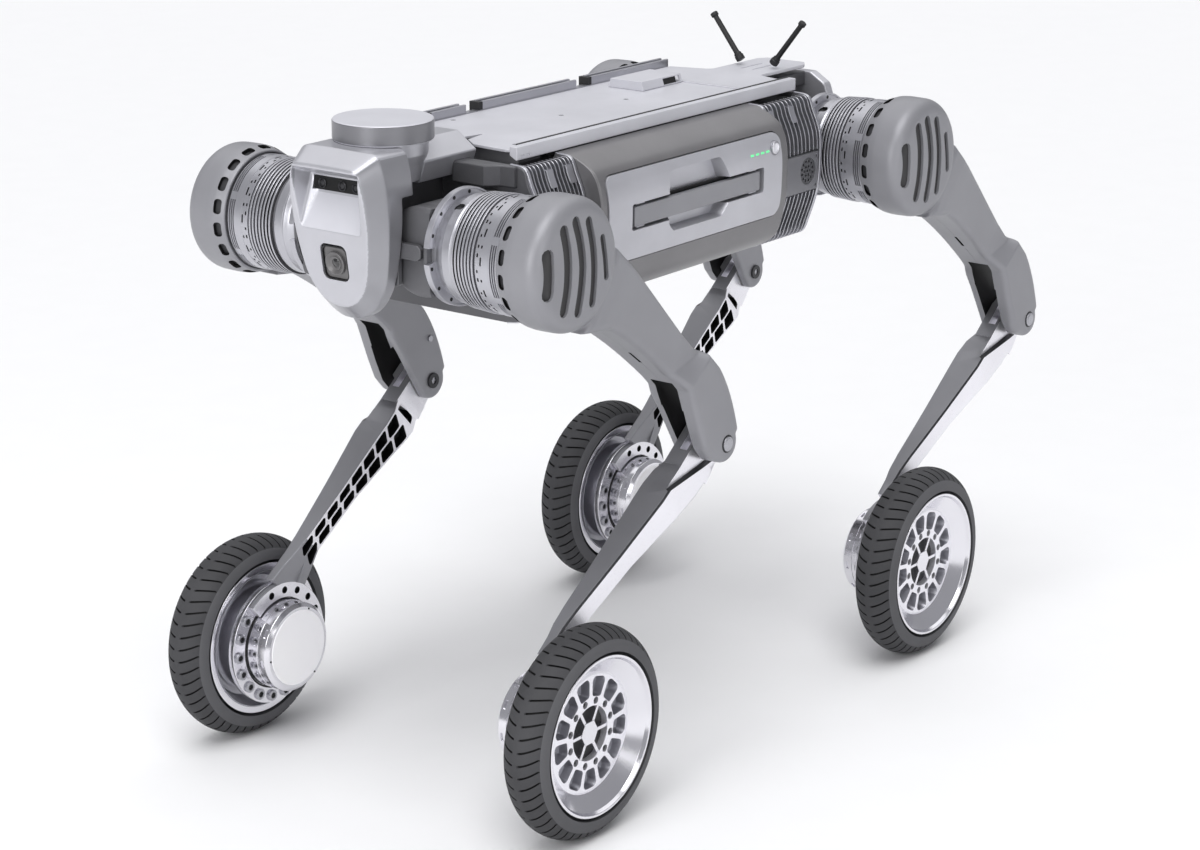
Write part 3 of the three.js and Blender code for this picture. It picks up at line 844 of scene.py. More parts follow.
def build_calf():
    beam = calf_beam()
    pockets = [beam_pocket(-z, 10.6, side) for z in range(76, 262, 25) for side in (-1, 1)]
    upper = slab(fillet([(-13, -44), (16, -44), (22, -60), (-10, -60)], 3), 181, 196, "Y")
    beam = carved(beam, inked(joined(pockets)), inked(upper))
    knuckle = slab(stadium(0, LEVER_LENGTH, 9, 0, 0, 19), EAR_INNER_Y, CALF_OUTER_Y, "Y", 1.2)
    neck = slab([(19, 4), (-19, 4), (-24, -40), (24, -48)],
                EAR_INNER_Y + 0.1, CALF_OUTER_Y - 0.1, "Y")
    plate = slab(arc(0, -CALF_LENGTH, FOOT_RADIUS, 4, 176, 40)
                 + arc(0, -CALF_LENGTH, 51.2, 176, 4, 40), FOOT_INNER_Y, 187.9, "Y", 0.8)
    # The rib between the rows of pockets runs on down to the foot plate.
    ridge = slab([(36.0, -262), (38.5, -262), (28.6, -290), (26.2, -290)], 177.3, 184)
    beam = carved(united(beam, ridge),
                  rod(FOOT_RADIUS, 170, FOOT_INNER_Y + 0.1, 0, -CALF_LENGTH, 96))
    body = united(beam, knuckle, neck, plate)
    rod_slot = block(-44, 44, 194.5, 203.5, -28, 60)
    bolt_holes = inked(around(rod(4.1, 178, 184.6, 59.8, 0, 20), 7, start=-150, step=20))
    body = carved(
        body, rod_slot,
        rod(7.4, 180, 220), rod(51, 170, 230, 0, -CALF_LENGTH, 96),
        rod(71.4, 188, 230, 0, -CALF_LENGTH, 96),
        moved(bolt_holes, shift(z=-CALF_LENGTH)))
    facet = loft([([(21, -18), (29, -80), (-9, -20)], CALF_OUTER_Y - 5.5),
                  ([(27, -12), (35, -92), (-16, -16)], CALF_OUTER_Y + 1.5)])
    body = carved(body, facet)
    body = eased(body, 0.8, 40)
    pin = rod(4, 193.8, 204.2, 0, LEVER_LENGTH, 16)
    looks = ("calf_paint", "satin_metal", "dark_lining", "dark_steel", "handle_paint")
    for face in body.data.polygons:
        spot, normal = face.center, face.normal
        above_plate = abs(spot.y - FOOT_INNER_Y) > 0.12 and -335 < spot.z < -250
        # The faces left by the pockets, the upper recess and the bolt holes take the near-black
        # grey: painted shade inside them.
        if face.material_index == 1:
            face.material_index = 2
        # The chamfer along the front outer corner takes dark steel: a painted shade line along the
        # edge.
        elif 0.3 < normal.x < 0.9 and normal.y > 0.3:
            face.material_index = 3
        elif normal.y < -0.5 and above_plate and spot.y < 184:
            face.material_index = 4
        elif normal.x < 0.55:
            face.material_index = 1
    leg_piece("calf_beam", joined([body, pin]), looks, "calf", "shin", "bare_aluminium", ["calf"])


# ---- The thigh, hanging straight down from the hip: +X is its front.


def thigh_outline():
    return ([(-50, -44), (-52, -92), (-51.5, -246), (-56, -260), (-56, -288)]
            + quadratic((-56, -288), (-50, -325), (-24, -366), 8)[1:]
            + arc(0, -THIGH_LENGTH, 21.5, 208.8, 340, 12)
            + [(27, -346), (25.5, -325), (15, -300), (5, -279), (-6, -256)]
            + quadratic((-6, -240), (0, -150), (16, -96), 10)
            + [(44, -58)])


DOME = [(0, 180.6), (61.2, 180.6), (61.2, 177.2, 0.4), (63.0, 177.4, 1.2), (67.2, 190, 5),
        (68, 198, 6), (67.5, 232.0, 18), (30, 232.6, 16), (0, 232.8)]
# The outer and inner halves of the thigh meet here.
THIGH_SPLIT_Y = 199


def dome_slots():
    """Five slots, upright as the robot stands, so they lean back in the thigh's frame."""
    lean = math.radians(THIGH_LEAN)
    cos, sin = math.cos(lean), math.sin(lean)
    lines = [
        (15.5, [(49.5, 18), (48.6, 0), (49.5, -18)]),
        (12.8, [(25.5, 39), (20.8, 20), (19.2, 0), (20.8, -20), (25.7, -39.5)]),
        (11.6, [(6.8, 45), (0, 24), (-3.8, 0), (-1.5, -24), (3.4, -44.5)]),
        (10.4, [(-13.7, 42), (-19.6, 20), (-22.2, 0), (-22, -20), (-19.6, -39.5)]),
        (7.8, [(-36, 22), (-40.5, 0), (-42.5, -18)]),
    ]
    tools = []
    for width, line in lines:
        turned_line = [(x * cos - z * sin, x * sin + z * cos) for x, z in smooth_curve(line, 4)]
        tools.append(slab(bar_path(turned_line, width / 2), 219, 250))
    return joined(tools)


def build_thigh():
    outline = thigh_outline()
    dome = lathe(DOME, 120, steps=6)
    outer = slab(outline, 198.8, 231, "Y", 7.5, 0.0, steps=5)
    inner = slab(outline, 174.5, 199.2, "Y", 0.0, 3.0)
    # The inner cheek stops short of the outer one, so the linkage shows between them.
    front_cut = slab([(-6, -246), (3.7, -292), (19.5, -350), (25, -372), (60, -372), (60, -246)],
                     170, 186)
    inner = carved(inner, rod(64, 170, 180.4, 0, 0, 64), front_cut)
    body = united(dome, outer, inner)
    body = softened(body, 1.5, 5)
    # The outer face sinks towards a slanted fold, and rises again into the knee block.
    mesh = body.data
    spots = np.empty(len(mesh.vertices) * 3)
    mesh.vertices.foreach_get("co", spots)
    spots = spots.reshape(-1, 3)
    down = -spots[:, 2]
    fold_top = 219.6 - 0.66 * spots[:, 0]
    fold_base = 253.2 - 0.17 * spots[:, 0]
    rise = np.clip((down - fold_top) / np.maximum(fold_base - fold_top, 6), 0, 1)
    drop = 9.5 * np.clip((down - 75) / 140, 0, 1) * (1 - rise)
    spots[:, 1] -= drop * np.clip((spots[:, 1] - 215) / 8, 0, 1)
    mesh.vertices.foreach_set("co", spots.ravel())
    hollow = turned([(0, 170), (61.2, 170), (61.2, 184), (64, 190), (64, 200), (58, 210),
                     (0, 213)], 96)
    walls = (184, 214.8)
    passage = block(-46, 8, *walls, -110, -34)
    channel = slab([(-46, -100), (-46, -282), (-8.4, -282), (-8.3, -240), (-5, -150), (4, -100)],
                   *walls)
    knee_room = block(-90, 90, *walls, -420, -280.5)
    front_slot = slab([(-20, -243), (40, -243), (40, -300), (-20, -300)], 186, 213.5)
    slit = slab(rounded(-12, 30, -198, -174, 1), 197.0, 200.5, "Y")
    rim_slots = around(slab(rounded(182.2, 190.6, -7.8, 7.8, 3.4), 56, 84, "X"), 17, start=4)
    filler = turned([(0, 229.6), (52, 229.2), (60, 225), (60, 212), (0, 212)], 96)
    leg_piece("dome_slots", kept(filler, dome_slots()), "slot_grey", "thigh", "thigh",
              "thigh_paint")
    # The walls of the hollow, the passage, the channel, the knee room, the front slot, the slit
    # and the rim slots take the near-black grey: painted shade inside them.
    body = carved(body, inked(hollow), inked(passage), inked(channel), inked(knee_room),
                  inked(front_slot), inked(slit), dome_slots(), inked(rim_slots),
                  rod(7.4, 170, 240, 0, -THIGH_LENGTH, 32),
                  moved(rod(9.9, 228.4, 240, 0, 0, 40), shift(z=-THIGH_LENGTH)))
    ring = turned([(24, 180.9), (60.2, 180.9), (60.2, 185.8), (24, 185.8)], 72)
    # The dark ring lining the inside of the dome's rim is painted shade.
    wall = turned([(60.3, 180.2), (61.0, 180.2), (63.0, 190.4), (63.0, 198), (62.4, 198),
                   (60.3, 188)], 72)
    leg_piece("dome_rim_shade", wall, "dark_paint", "thigh", "thigh", "thigh_paint")
    shell = kept(again(body, Matrix.Identity(4)),
                 united(block(-120, 120, THIGH_SPLIT_Y + 0.15, 260, -420, 120),
                        rod(77, 170, 205, 0, 0, 96)))
    half = carved(body, block(-120, 120, THIGH_SPLIT_Y - 0.15, 260, -420, 120),
                  rod(77.3, 170, 205, 0, 0, 96))
    both = ("thigh_paint", "dark_lining")
    leg_piece("thigh_outer", shell, both, "thigh", "thigh", "thigh_paint", ["thigh_shell"],
              sharp=45)
    leg_piece("thigh_inner", joined([half, ring]), both, "thigh", "thigh", "thigh_paint",
              ["thigh_frame"], sharp=45)


def build_knee():
    z = -THIGH_LENGTH
    head = lathe([(0, 228.6), (8.2, 228.6), (8.2, 232.8, 0.9), (6.4, 232.8),
                  (5.9, 233.2, 0.4), (0, 233.2)], 64, steps=3)
    pin = joined([rod(7, 173, 230, 0, z, 40), moved(head, shift(z=z))])
    leg_piece("knee_axle", pin, "steel", "thigh", "thigh", "steel", ["knee_pin"])
    cup = turned([(8.4, 228.6), (9.8, 228.6), (9.8, 231.2), (9.2, 231.5), (8.4, 231.5)], 64)
    bolt = carved(rod(9, 171.7, 174.3, 0, 0, 40, 0.5), rod(4.2, 170, 173.6, 0, 0, 6))
    small = lathe([(0, 171.9), (3.6, 171.9, 0.5), (3.6, 175), (0, 175)], 32)
    dark = joined([moved(cup, shift(z=z)), moved(bolt, shift(z=z))])
    leg_piece("knee_seal", dark, "dark_steel", "thigh", "thigh", "steel")
    leg_piece("knee_bolt", moved(small, shift(-34, 0, -318)), "steel", "thigh", "thigh", "steel")
    bend = math.radians(THIGH_LEAN + CALF_LEAN)
    lever_x, lever_z = -LEVER_LENGTH * math.sin(bend), LEVER_LENGTH * math.cos(bend)
    crank = joined([slab(stadium(0, 0, 20, lever_x, lever_z, 9), 189.5, 195.3, "Y", 0.8),
                    rod(18, 179, 190, 0, 0, 40),
                    rod(4, 195, 202.6, lever_x, lever_z, 20)])
    leg_piece("crank_arm", crank, "dark_steel", "thigh", "crank", "steel", ["knee_crank"])
    low = lever_z - THIGH_LENGTH
    bar = slab([(lever_x - 4.6, lever_z), (lever_x - 4.6, low), (lever_x + 4.6, low),
                (lever_x + 4.6, lever_z)], 196.2, 201.8, "Y", 0.8)
    eyes = [rod(9, 196, 202, lever_x, at, 32, 0.7) for at in (lever_z, low)]
    holes = [rod(4.4, 190, 210, lever_x, at, 20) for at in (lever_z, low)]
    link = carved(united(bar, *eyes), *holes)
    leg_piece("link_rod", link, "polished_metal", "thigh", "rod", "steel", ["push_rod"])


# ---- The hip actuator, in a frame with the hip's pitch axis along Y.

# The housing and its flange, as shares of the sizes they were drawn at.
HOUSING_SHARE = 0.965
FLANGE_SHARE = 0.945


def build_hip():
    profile = [(0, 88), (52, 88), (52.6, 94, 3), (55.4, 99.5, 6), (56.6, 104, 2), (58, 105, 0.6),
               (58.8, 114.8, 1), (57.2, 117.2), (57.2, 118.4)]
    fin_count, fin_pitch = 7, 4.32
    for fin in range(fin_count):
        y = 118.8 + fin * fin_pitch
        crest = 61 + 1.4 * min(fin / 5, 1)
        profile += [(57.0, y), (crest - 0.3, y + 0.2), (crest, y + 0.6), (crest, y + 2.1),
                    (crest - 0.3, y + 2.5), (57.0, y + 2.7)]
    profile += [(57.4, 149.2), (61.6, 149.4, 0.3), (61.8, 158.4), (62.3, 158.8), (62.4, 168.0),
                (61.2, 168.2), (61.2, 169.4), (62.4, 169.6), (62.4, 170.6), (61.2, 170.8),
                (61.2, 172), (62.4, 172.2), (62.4, 173.2), (61.2, 173.4), (61.2, 174.6),
                (62.4, 174.8), (62.4, 176.2), (60.5, 177.8), (0, 177.8)]
    body = lathe(profile, 160, steps=2)
    tools = []
    # Two staggered rows of vents with uneven lengths, and uneven gaps in degrees.
    lengths, gaps = (3.2, 6.5, 4.2, 9.0, 3.0, 5.4), (5.5, 11, 7.5)
    radius, degrees_in_radian = 62, 57.3
    for row, y in enumerate((151.4, 155.6)):
        at = 5.0 + row * 9
        index = 0
        while at < 352 + row * 8:
            length = lengths[(index * (row + 2)) % len(lengths)]
            slot = slab(rounded(y, y + 1.9, -length / 2, length / 2, 0.7), 59.6, 66, "X")
            tools.append(moved(slot, spin(at, "Y")))
            at += length / radius * degrees_in_radian + gaps[(index + row) % len(gaps)]
            index += 1
    oval = slab(rounded(101, 113.5, -4.2, 4.2, 4.0), 54, 70, "X", steps=2)
    # The vents, the oval recess and the valleys between the fins and rings take the dark grey:
    # painted shade in them.
    body = carved(body, inked(joined(tools)), inked(moved(oval, spin(-58, "Y"))))
    repainted(body, lambda c, n: 118 < c.y < 149.3 and math.hypot(c.x, c.z) < 59.2
              or 168.1 < c.y < 174.8 and math.hypot(c.x, c.z) < 61.6)
    leg_piece("hip_housing", slimmed(body, HOUSING_SHARE), ("bare_aluminium", "dark_paint"),
              "hip", "hip", "bare_aluminium", ["hip_actuator"], sharp=32)
    bridges = [turned([(60.8, 168.1), (62.45, 168.1), (62.45, 176), (60.8, 176)], 8,
                      start, start + 8) for start in range(22, 382, 60)]
    leg_piece("hip_bridges", slimmed(joined(bridges), HOUSING_SHARE), "bare_aluminium",
              "hip", "hip", "bare_aluminium")
    # The flange ring is split in two arcs, open at the front.
    flange = joined([turned([(49, 85.2), (62.8, 85.2), (63.4, 85.8), (63.4, 91.6), (62.8, 92.2),
                             (61.4, 92.2), (61, 90.8), (49, 90.8)], 60, start, end)
                     for start, end in ((8, 172), (188, 352))])
    leg_piece("hip_flange", slimmed(flange, FLANGE_SHARE), "bare_aluminium", "hip", "hip",
              "bare_aluminium", sharp=30)
    # Dark discs in the flange's bolt holes are painted shade.
    sockets = around(rod(2.1, 90.2, 91.1, 58.2, 0, 16), 14, start=14, step=25)
    leg_piece("hip_sockets", slimmed(sockets, FLANGE_SHARE), "dark_lining", "hip", "hip",
              "black_plastic")
    back = lathe([(0, 76.4), (49, 80.6), (60.6, 83.4, 1.0), (60.6, 87.2, 1.0), (52, 88.5),
                  (0, 88.5)], 96, steps=3)
    leg_piece("hip_backplate", slimmed(back, FLANGE_SHARE), "slate_paint", "hip", "hip",
              "bare_aluminium")
    knuckle = lathe([(0, -64.8), (41, -64.8), (45.8, -61, 3), (45.8, -40), (44.6, -38.8),
                     (44.6, -36), (45.8, -34.8), (45.8, 30), (44.4, 32), (44.4, 38),
                     (45.8, 40), (45.8, 46, 2), (40, 48.3), (0, 48.3)], 96, steps=3)
    knuckle = carved(facing_front(knuckle, 0, HIP_Y, 0), block(-80, 80, 84, 130, -60, 60))
    leg_piece("hip_knuckle", knuckle, "slate_paint", "trunkward", "hip", "bare_aluminium")


# ---- The trunk, counted from its own middle.

SHELL_REAR_X = -163
SHELL_FRONT_X = 182
PANEL_X0, PANEL_X1, PANEL_Z0, PANEL_Z1 = -148, 172, 553, 646
CHARGE_LIGHTS_X = (-91, -101, -111, -121)
BUTTON_X, BUTTON_Z = -134.8, 629.6


def side_curve(bulge, scale=1.0):
    """One side's outline from the deck's edge, round the bulge, to the belly."""
    points = smooth_curve([
        (93, 668.8), (112, 666), (bulge - 11, 651), (bulge - 1, 625), (bulge, 590),
        (bulge - 3, 560), (bulge - 14, 526), (108, 508), (88, 503)], 8)
    return [(60 + (y - 60) * scale, 590 + (z - 590) * scale) for y, z in points]


def side_band(bulge, inner, low, high):
    """The part of a side's thickness between two heights, as a closed outline."""
    outer = [p for p in side_curve(bulge) if low <= p[1] <= high]
    inside = [(60 + (y - 60) * inner, z) for y, z in outer]
    return outer + inside[::-1]


def full_width(half):
    """The trunk's whole section, from its left half."""
    return half + [(-y, z) for y, z in half[::-1]]


def both_sides(made):
    """A solid of the left side with its mirror image on the right."""
    return joined([made, mirror_image(made)])


def panel_outline(margin, radius, steps=5):
    """The battery panel's outline, with a margin round it."""
    return rounded(PANEL_X0 - margin, PANEL_X1 + margin, PANEL_Z0 - margin, PANEL_Z1 + margin,
                   radius, steps)


def build_shells():
    outline = side_curve(150) + side_curve(150, 0.94)[::-1]
    window = slab(panel_outline(1.3, 13), 100, 165)
    whole = slab(outline, SHELL_REAR_X, SHELL_FRONT_X, "X", 3.4, steps=4)
    right = mirror_image(whole)
    left = carved(whole, window)
    for name, x0, x1 in (("front", 177.5, 182.5), ("rear", -163.5, -158.5)):
        cap = both_sides(slab(side_curve(149) + side_curve(130, 0.9)[::-1], x0, x1, "X", 1.0))
        trunk_piece(f"shell_cap_{name}", cap, "shell_paint")
    trunk_piece("side_shell_left", left, "shell_paint", ["left_side_shell"])
    trunk_piece("side_shell_right", right, "shell_paint", ["right_side_shell"])
    # A dark frame behind the panel's seam is painted shade in the gap.
    seam_shade = slab(panel_outline(6, 14), 128, 131.5)
    seam_shade = carved(seam_shade, block(-134, 158, 120, 140, 560, 640))
    trunk_piece("battery_seam_shade", seam_shade, "dark_lining")


def panel_recess():
    """A finger recess, with a long soft slope at its front end."""
    mouth = fillet([(-46, 612, 5), (-46, 586, 6), (-33, 571, 8), (58, 571, 7), (66, 579, 5),
                    (66, 629, 5), (58, 637, 7), (-33, 637, 8)], steps=4)
    floor = fillet([(-41, 611, 4), (-41, 588, 5), (-29, 574, 6), (44, 574, 6), (50, 581, 4),
                    (50, 627, 4), (44, 634, 6), (-29, 634, 6)], steps=4)
    return loft([(floor, 136.5), (mouth, 151.2), (mouth, 170)])


def build_battery():
    skin = slab(side_curve(151.2) + [(60, 503), (60, 668.8)], PANEL_X0 - 10, PANEL_X1 + 10, "X")
    panel = kept(slab(panel_outline(0, 12, 8), 132, 170), skin)
    slot = slab(rounded(-112, 132, 584.2, 612.2, 3), 140.5, 170)
    well = rod(8.1, 145, 170, BUTTON_X, BUTTON_Z, 48)
    lights = [slab(rounded(x - 3.6, x + 3.6, 626.2, 629.0, 1.3), 148.6, 170)
              for x in CHARGE_LIGHTS_X]
    panel = carved(panel, panel_recess())
    panel = carved(panel, slot, well, *lights)
    panel = eased(panel, 0.9, 38)
    trunk_piece("battery_panel", panel, "panel_paint", ["battery_pack"], "battery")
    core = block(-131.5, 155.5, -61.5, 134, 560.5, 639.5, 2.0)
    core = carved(core, *[block(x, x + 3, -70, -58, 566, 634) for x in range(-120, 150, 24)])
    trunk_piece("battery_core", core, "black_plastic", (), "battery")
    # The dark floor behind the handle's slot is painted shade.
    floor = slab(rounded(-111, 131, 585, 611.6, 3), 139.6, 141.4)
    trunk_piece("handle_slot_floor", floor, "dark_lining", (), "battery")
    bar = slab(rounded(-106, 126, 587.6, 608.6, 1.5), 143.6, 150.0, "Y", 0.9, 0.9)
    feet = [block(x0, x1, 137, 144, 589, 607, 0.6) for x0, x1 in ((-106, -90), (110, 126))]
    trunk_piece("handle_bar", joined([bar] + feet), "handle_paint",
                ["battery_handle"], "battery")
    clips = [block(x - 7, x + 7, 140, 147.2, z, z + 1.6, 0.4)
             for x in (-96, 112) for z in (585.2, 609.6)]
    trunk_piece("handle_clips", joined(clips), "light_paint", (), "battery")
    ring = turned([(6.7, 146.2), (8.0, 146.2), (8.0, 151.0), (7.6, 151.6), (7.1, 151.6),
                   (6.7, 151.1)], 64)
    place = shift(BUTTON_X, 0, BUTTON_Z)
    trunk_piece("button_ring", moved(ring, place), "steel", (), "battery")
    button = lathe([(0, 147.9), (6.4, 147.9), (6.4, 151.6, 0.5), (5.2, 151.9, 0.4),
                    (4.4, 151.2), (0, 151.0)], 64, steps=3)
    trunk_piece("button_cap", moved(button, place), "satin_metal",
                ["power_button"], "button")
    dots = [slab(rounded(x - 3.4, x + 3.4, 626.4, 628.8, 1.2), 147.8, 149.7)
            for x in CHARGE_LIGHTS_X]
    trunk_piece("charge_lights", joined(dots), "led_green", (), "battery")


FINS = 11


def heat_sink(inner_x, outer_x):
    """The frames, fins and pads of one end's housing, on both sides."""
    ring = side_curve(131) + side_curve(131, 0.9)[::-1]
    frames = [both_sides(slab(ring, inner_x, inner_x + 4.5, "X", 1.0)),
              both_sides(slab(ring, outer_x - 4.5, outer_x, "X", 1.0))]
    fins = []
    first, last = inner_x + 8.5, outer_x - 8.5
    for low, high in ((607, 667), (504, 560)):
        outline = side_band(130, 0.86, low, high)
        for k in range(FINS):
            x = first + (last - first) * k / (FINS - 1)
            fins.append(both_sides(slab(outline, x - 0.65, x + 0.65, "X", 0.2, steps=1)))
    pads = [both_sides(slab(side_band(130.3, 0.9, 640, 660), x - 5.5, x + 5.5, "X", 0.8))
            for x in (first + 3, (first + last) / 2 + 4)]
    return frames, fins, pads


def build_end(name, flip):
    """One end of the trunk. It is worked out for the front, and turned about for the rear."""
    turn = spin(180, "Z") if flip else Matrix.Identity(4)
    inner_x, outer_x = (164.6, 261.5) if flip else (182.8, 261.5)
    frames, fins, pads = heat_sink(inner_x, outer_x)

    def put(label, made, look, stands_for=()):
        trunk_piece(f"{name}_{label}", moved(made, turn), look, stands_for)

    # The dark core shows between the fins as their painted shade.
    core = slab(full_width(side_curve(131, 0.925)), inner_x - 0.4, outer_x - 0.6, "X")
    put("sink_core", core, "dark_paint", [f"{name}_housing"])
    put("sink_frames", joined(frames), "fin_aluminium")
    put("sink_fins", joined(fins), "fin_aluminium")
    put("sink_pads", joined(pads), "fin_aluminium")
    # The flat panel half way down has a round grille.
    plate = slab([(60, 562), (129.4, 562), (130.6, 584), (129.6, 605), (60, 605)],
                 inner_x + 6, outer_x - 5.5, "X", 1.0)
    middle = 234 if flip else 222
    grille = [(0, 0)]
    for radius, first, step in ((5.6, 0, 60), (11.2, 15, 30)):
        grille += [(radius * math.cos(t), radius * math.sin(t))
                   for t in np.radians(range(first, first + 360, step))]

    def grille_holes():
        return joined([rod(1.75, 122, 140, middle + x, 585 + z, 14) for x, z in grille])

    dish = rod(15.5, 129.0, 140, middle, 585, 56)
    corners = [rod(1.8, 128.6, 140, x, z, 14) for x in (inner_x + 11, outer_x - 10)
               for z in (567, 600)]
    plate = carved(plate, dish)
    plate = carved(plate, grille_holes(), joined(corners))
    put("side_panels", both_sides(plate), "calf_paint")
    disc = both_sides(carved(rod(15.3, 128.4, 129.3, middle, 585, 56), grille_holes()))
    put("grilles", disc, "slate_paint")
    bulkhead = slab(full_width(side_curve(129, 0.985)), outer_x - 4, outer_x + 1.6, "X", 1.2)
    put("bulkhead", bulkhead, "slate_paint")
    spine = block(255, 381, -7, 7, 545, 660, 1.5)
    plate = slab(fillet([(-50, 560), (50, 560), (50, 589), (74, 589), (79, 593), (79, 601),
                         (74, 605), (50, 605), (42, 636), (-42, 636), (-50, 605), (-74, 605),
                         (-79, 601), (-79, 593), (-74, 589), (-50, 589)], 3), 378.5, 385, "X", 1.0)
    put("frame", joined([spine, plate]), "slate_paint")


def build_front():
    top = [(-30, 652), (30, 652), (38.5, 675), (14, 692), (-14, 692), (-38.5, 675)]
    bridge = slab(fillet(top, 2.5), 246, 328, "X", 1.5)
    trunk_piece("front_bridge", bridge, "head_paint")
    skirt = slab([(232, -81), (237, -70), (234, -27), (219, -9), (205, -4), (205, 4), (219, 9),
                  (234, 27), (237, 70), (232, 81), (196, 81), (196, -81)], 654, 674.2, "Z", 1.0)
    trunk_piece("front_skirt", skirt, "slate_paint")
    # The outer corner is cut back, to leave room for the hip as the leg swings outward.
    corner = [(262.5, 34), (280, 34), (280, 74), (268, 86), (268, 104), (262.5, 104)]
    motor_box = [slab([(x, side * y) for x, y in corner], 646, 668, "Z", 2.0) for side in (1, -1)]
    trunk_piece("front_blocks", joined(motor_box), "slate_paint")


def build_rear():
    half = [(30, 536), (54, 560), (63, 600), (63, 630), (54, 656), (34, 668)]
    outline = fillet(full_width(half), 8, steps=5)
    tail = slab(outline, -398.3, -384.8, "X", 2.5, 1.0)
    edge = without_repeats(outline)
    tail = carved(tail, slab(inset(edge, 5), -402, -396, "X"))
    trunk_piece("tail_plate", tail, "head_paint")
    inner = slab(inset(edge, 5.4), -396.2, -395.2, "X")
    trunk_piece("tail_inset", inner, "slate_paint")
    bridge = block(-385.3, -290, -27, 27, 652, 668, 2)
    trunk_piece("rear_bridge", bridge, "slate_paint")


DECK_BASE_Z = 674.3
DECK_TOP_Z = 677.5


def build_deck():
    outline = fillet([
        (-189.5, -83), (235, -83), (240, -70), (237, -26), (222, -7), (184, 0), (222, 7),
        (237, 26), (240, 70), (235, 82.2), (-189.5, 82.2)], 1.2, steps=2)
    deck = slab(outline, DECK_BASE_Z, DECK_TOP_Z, "Z", 0.7)
    screw_places = [(58, 2), (-62, 0), (214, 62), (214, -62), (-176, 70), (150, -72)]
    deck = carved(deck, joined([facing_up(rod(3.0, 676.9, 680, 0, 0, 24), x, y)
                                for x, y in screw_places]))
    trunk_piece("deck", deck, "light_paint", ["deck_plate"])
    seam = [block(-262, 236, 82.3, 83.7, 674.4, 677.0), block(-262, 236, 80.6, 83.5, 677.7, 683.8)]
    trunk_piece("deck_seam", joined(seam), "black_plastic")
    screws = []
    for x, y in screw_places:
        head = carved(rod(2.6, 676.2, 677.6, 0, 0, 24, 0.3), rod(1.2, 677.0, 679, 0, 0, 6))
        screws.append(facing_up(head, x, y))
    trunk_piece("deck_screws", joined(screws), "steel")
    fold = [(-62, 677.6), (-58.5, 688), (-15.5, 688), (-12, 677.6)]
    inside = [(-60, 677), (-57, 686.2), (-17, 686.2), (-14, 677)]
    bracket = carved(slab(fillet(fold, 1.2), -188, -112, "X", 0.6),
                     slab(inside, -192, -116, "X"), block(-184, -152, -19, -8, 679, 686.2))
    trunk_piece("deck_bracket", bracket, "light_paint")
    # A black block inside the bracket is painted shade in its cavity.
    dark = slab([(-59.6, 677.6), (-56.8, 686), (-17.2, 686), (-14.4, 677.6)], -179, -117, "X")
    trunk_piece("bracket_cavity", dark, "black_plastic")
    cover = slab(fillet([
        (-190.5, -83), (-190.5, 83), (-262, 83, 4), (-276, 34, 10), (-372, 34, 6), (-384, 26, 3),
        (-384, -26, 3), (-372, -34, 6), (-276, -34, 10), (-262, -83, 4)], 1, steps=5),
        DECK_BASE_Z, DECK_TOP_Z + 1.5, "Z", 1.4)
    slots = [slab(rounded(-345, -300, y - 1.2, y + 1.2, 1.1), 677.8, 682, "Z") for y in (-8, 8)]
    cover = carved(cover, *slots)
    trunk_piece("rear_lid", cover, "light_paint", ["rear_cover"])
    rail = slab(fillet([(83.6, 674.3), (92, 669.5), (93, 670.3), (93, 683.5), (83.6, 683.5)], 0.9,
                       steps=2), -262, 250, "X", 0.8)
    marks = [block(x, x + 5, 92.4, 95, 672.5, 675, 0) for x in (238, 229)]
    rail = carved(rail, *marks)
    trunk_piece("near_rail", rail, "light_paint", ["left_rail"])
    base = slab([(-93, 670), (-83.7, 670), (-83.7, 678), (-93, 678)], -262, 250, "X", 0.6)
    channel = [(-98, 677), (-85, 677), (-85, 687), (-88.5, 687), (-88.5, 679.5), (-94.5, 679.5),
               (-94.5, 687), (-98, 687)]
    lengths = [slab(fillet(channel, 0.5, steps=1), x0, x1, "X", 0.4, steps=1)
               for x0, x1 in ((-262, -112), (-84, 84), (112, 170))]
    trunk_piece("far_rail", joined([base] + lengths), "bare_aluminium",
                ["right_rail"])
    section = [(-98.4, 676.6), (-84.6, 676.6), (-84.6, 686.6), (-98.4, 686.6)]
    plugs = [slab(section, x, x + 7, "X", 0.8) for x in (-112, 84, 170)]
    trunk_piece("rail_plugs", joined(plugs), "black_plastic")


HEAD_HALF = [
    (0, 696.6), (30, 696.4), (46, 695), (52.5, 687), (57, 668), (58.4, 648), (58, 622),
    (54, 590), (46, 558), (32, 536), (14, 525), (0, 523)]
HEAD_MIDDLE_Z = 615


def tilted(made):
    """Leans the front of the head out over the chin."""
    for vertex in made.data.vertices:
        reach = (vertex.co.x - 385.5) / (425 - 385.5)
        vertex.co.x += reach * 0.16 * (vertex.co.z - 600)
    return made


def hull(points):
    work = bmesh.new()
    for point in points:
        work.verts.new(point)
    bmesh.ops.convex_hull(work, input=work.verts)
    mesh = bpy.data.meshes.new("work")
    work.to_mesh(mesh)
    work.free()
    return working(mesh)


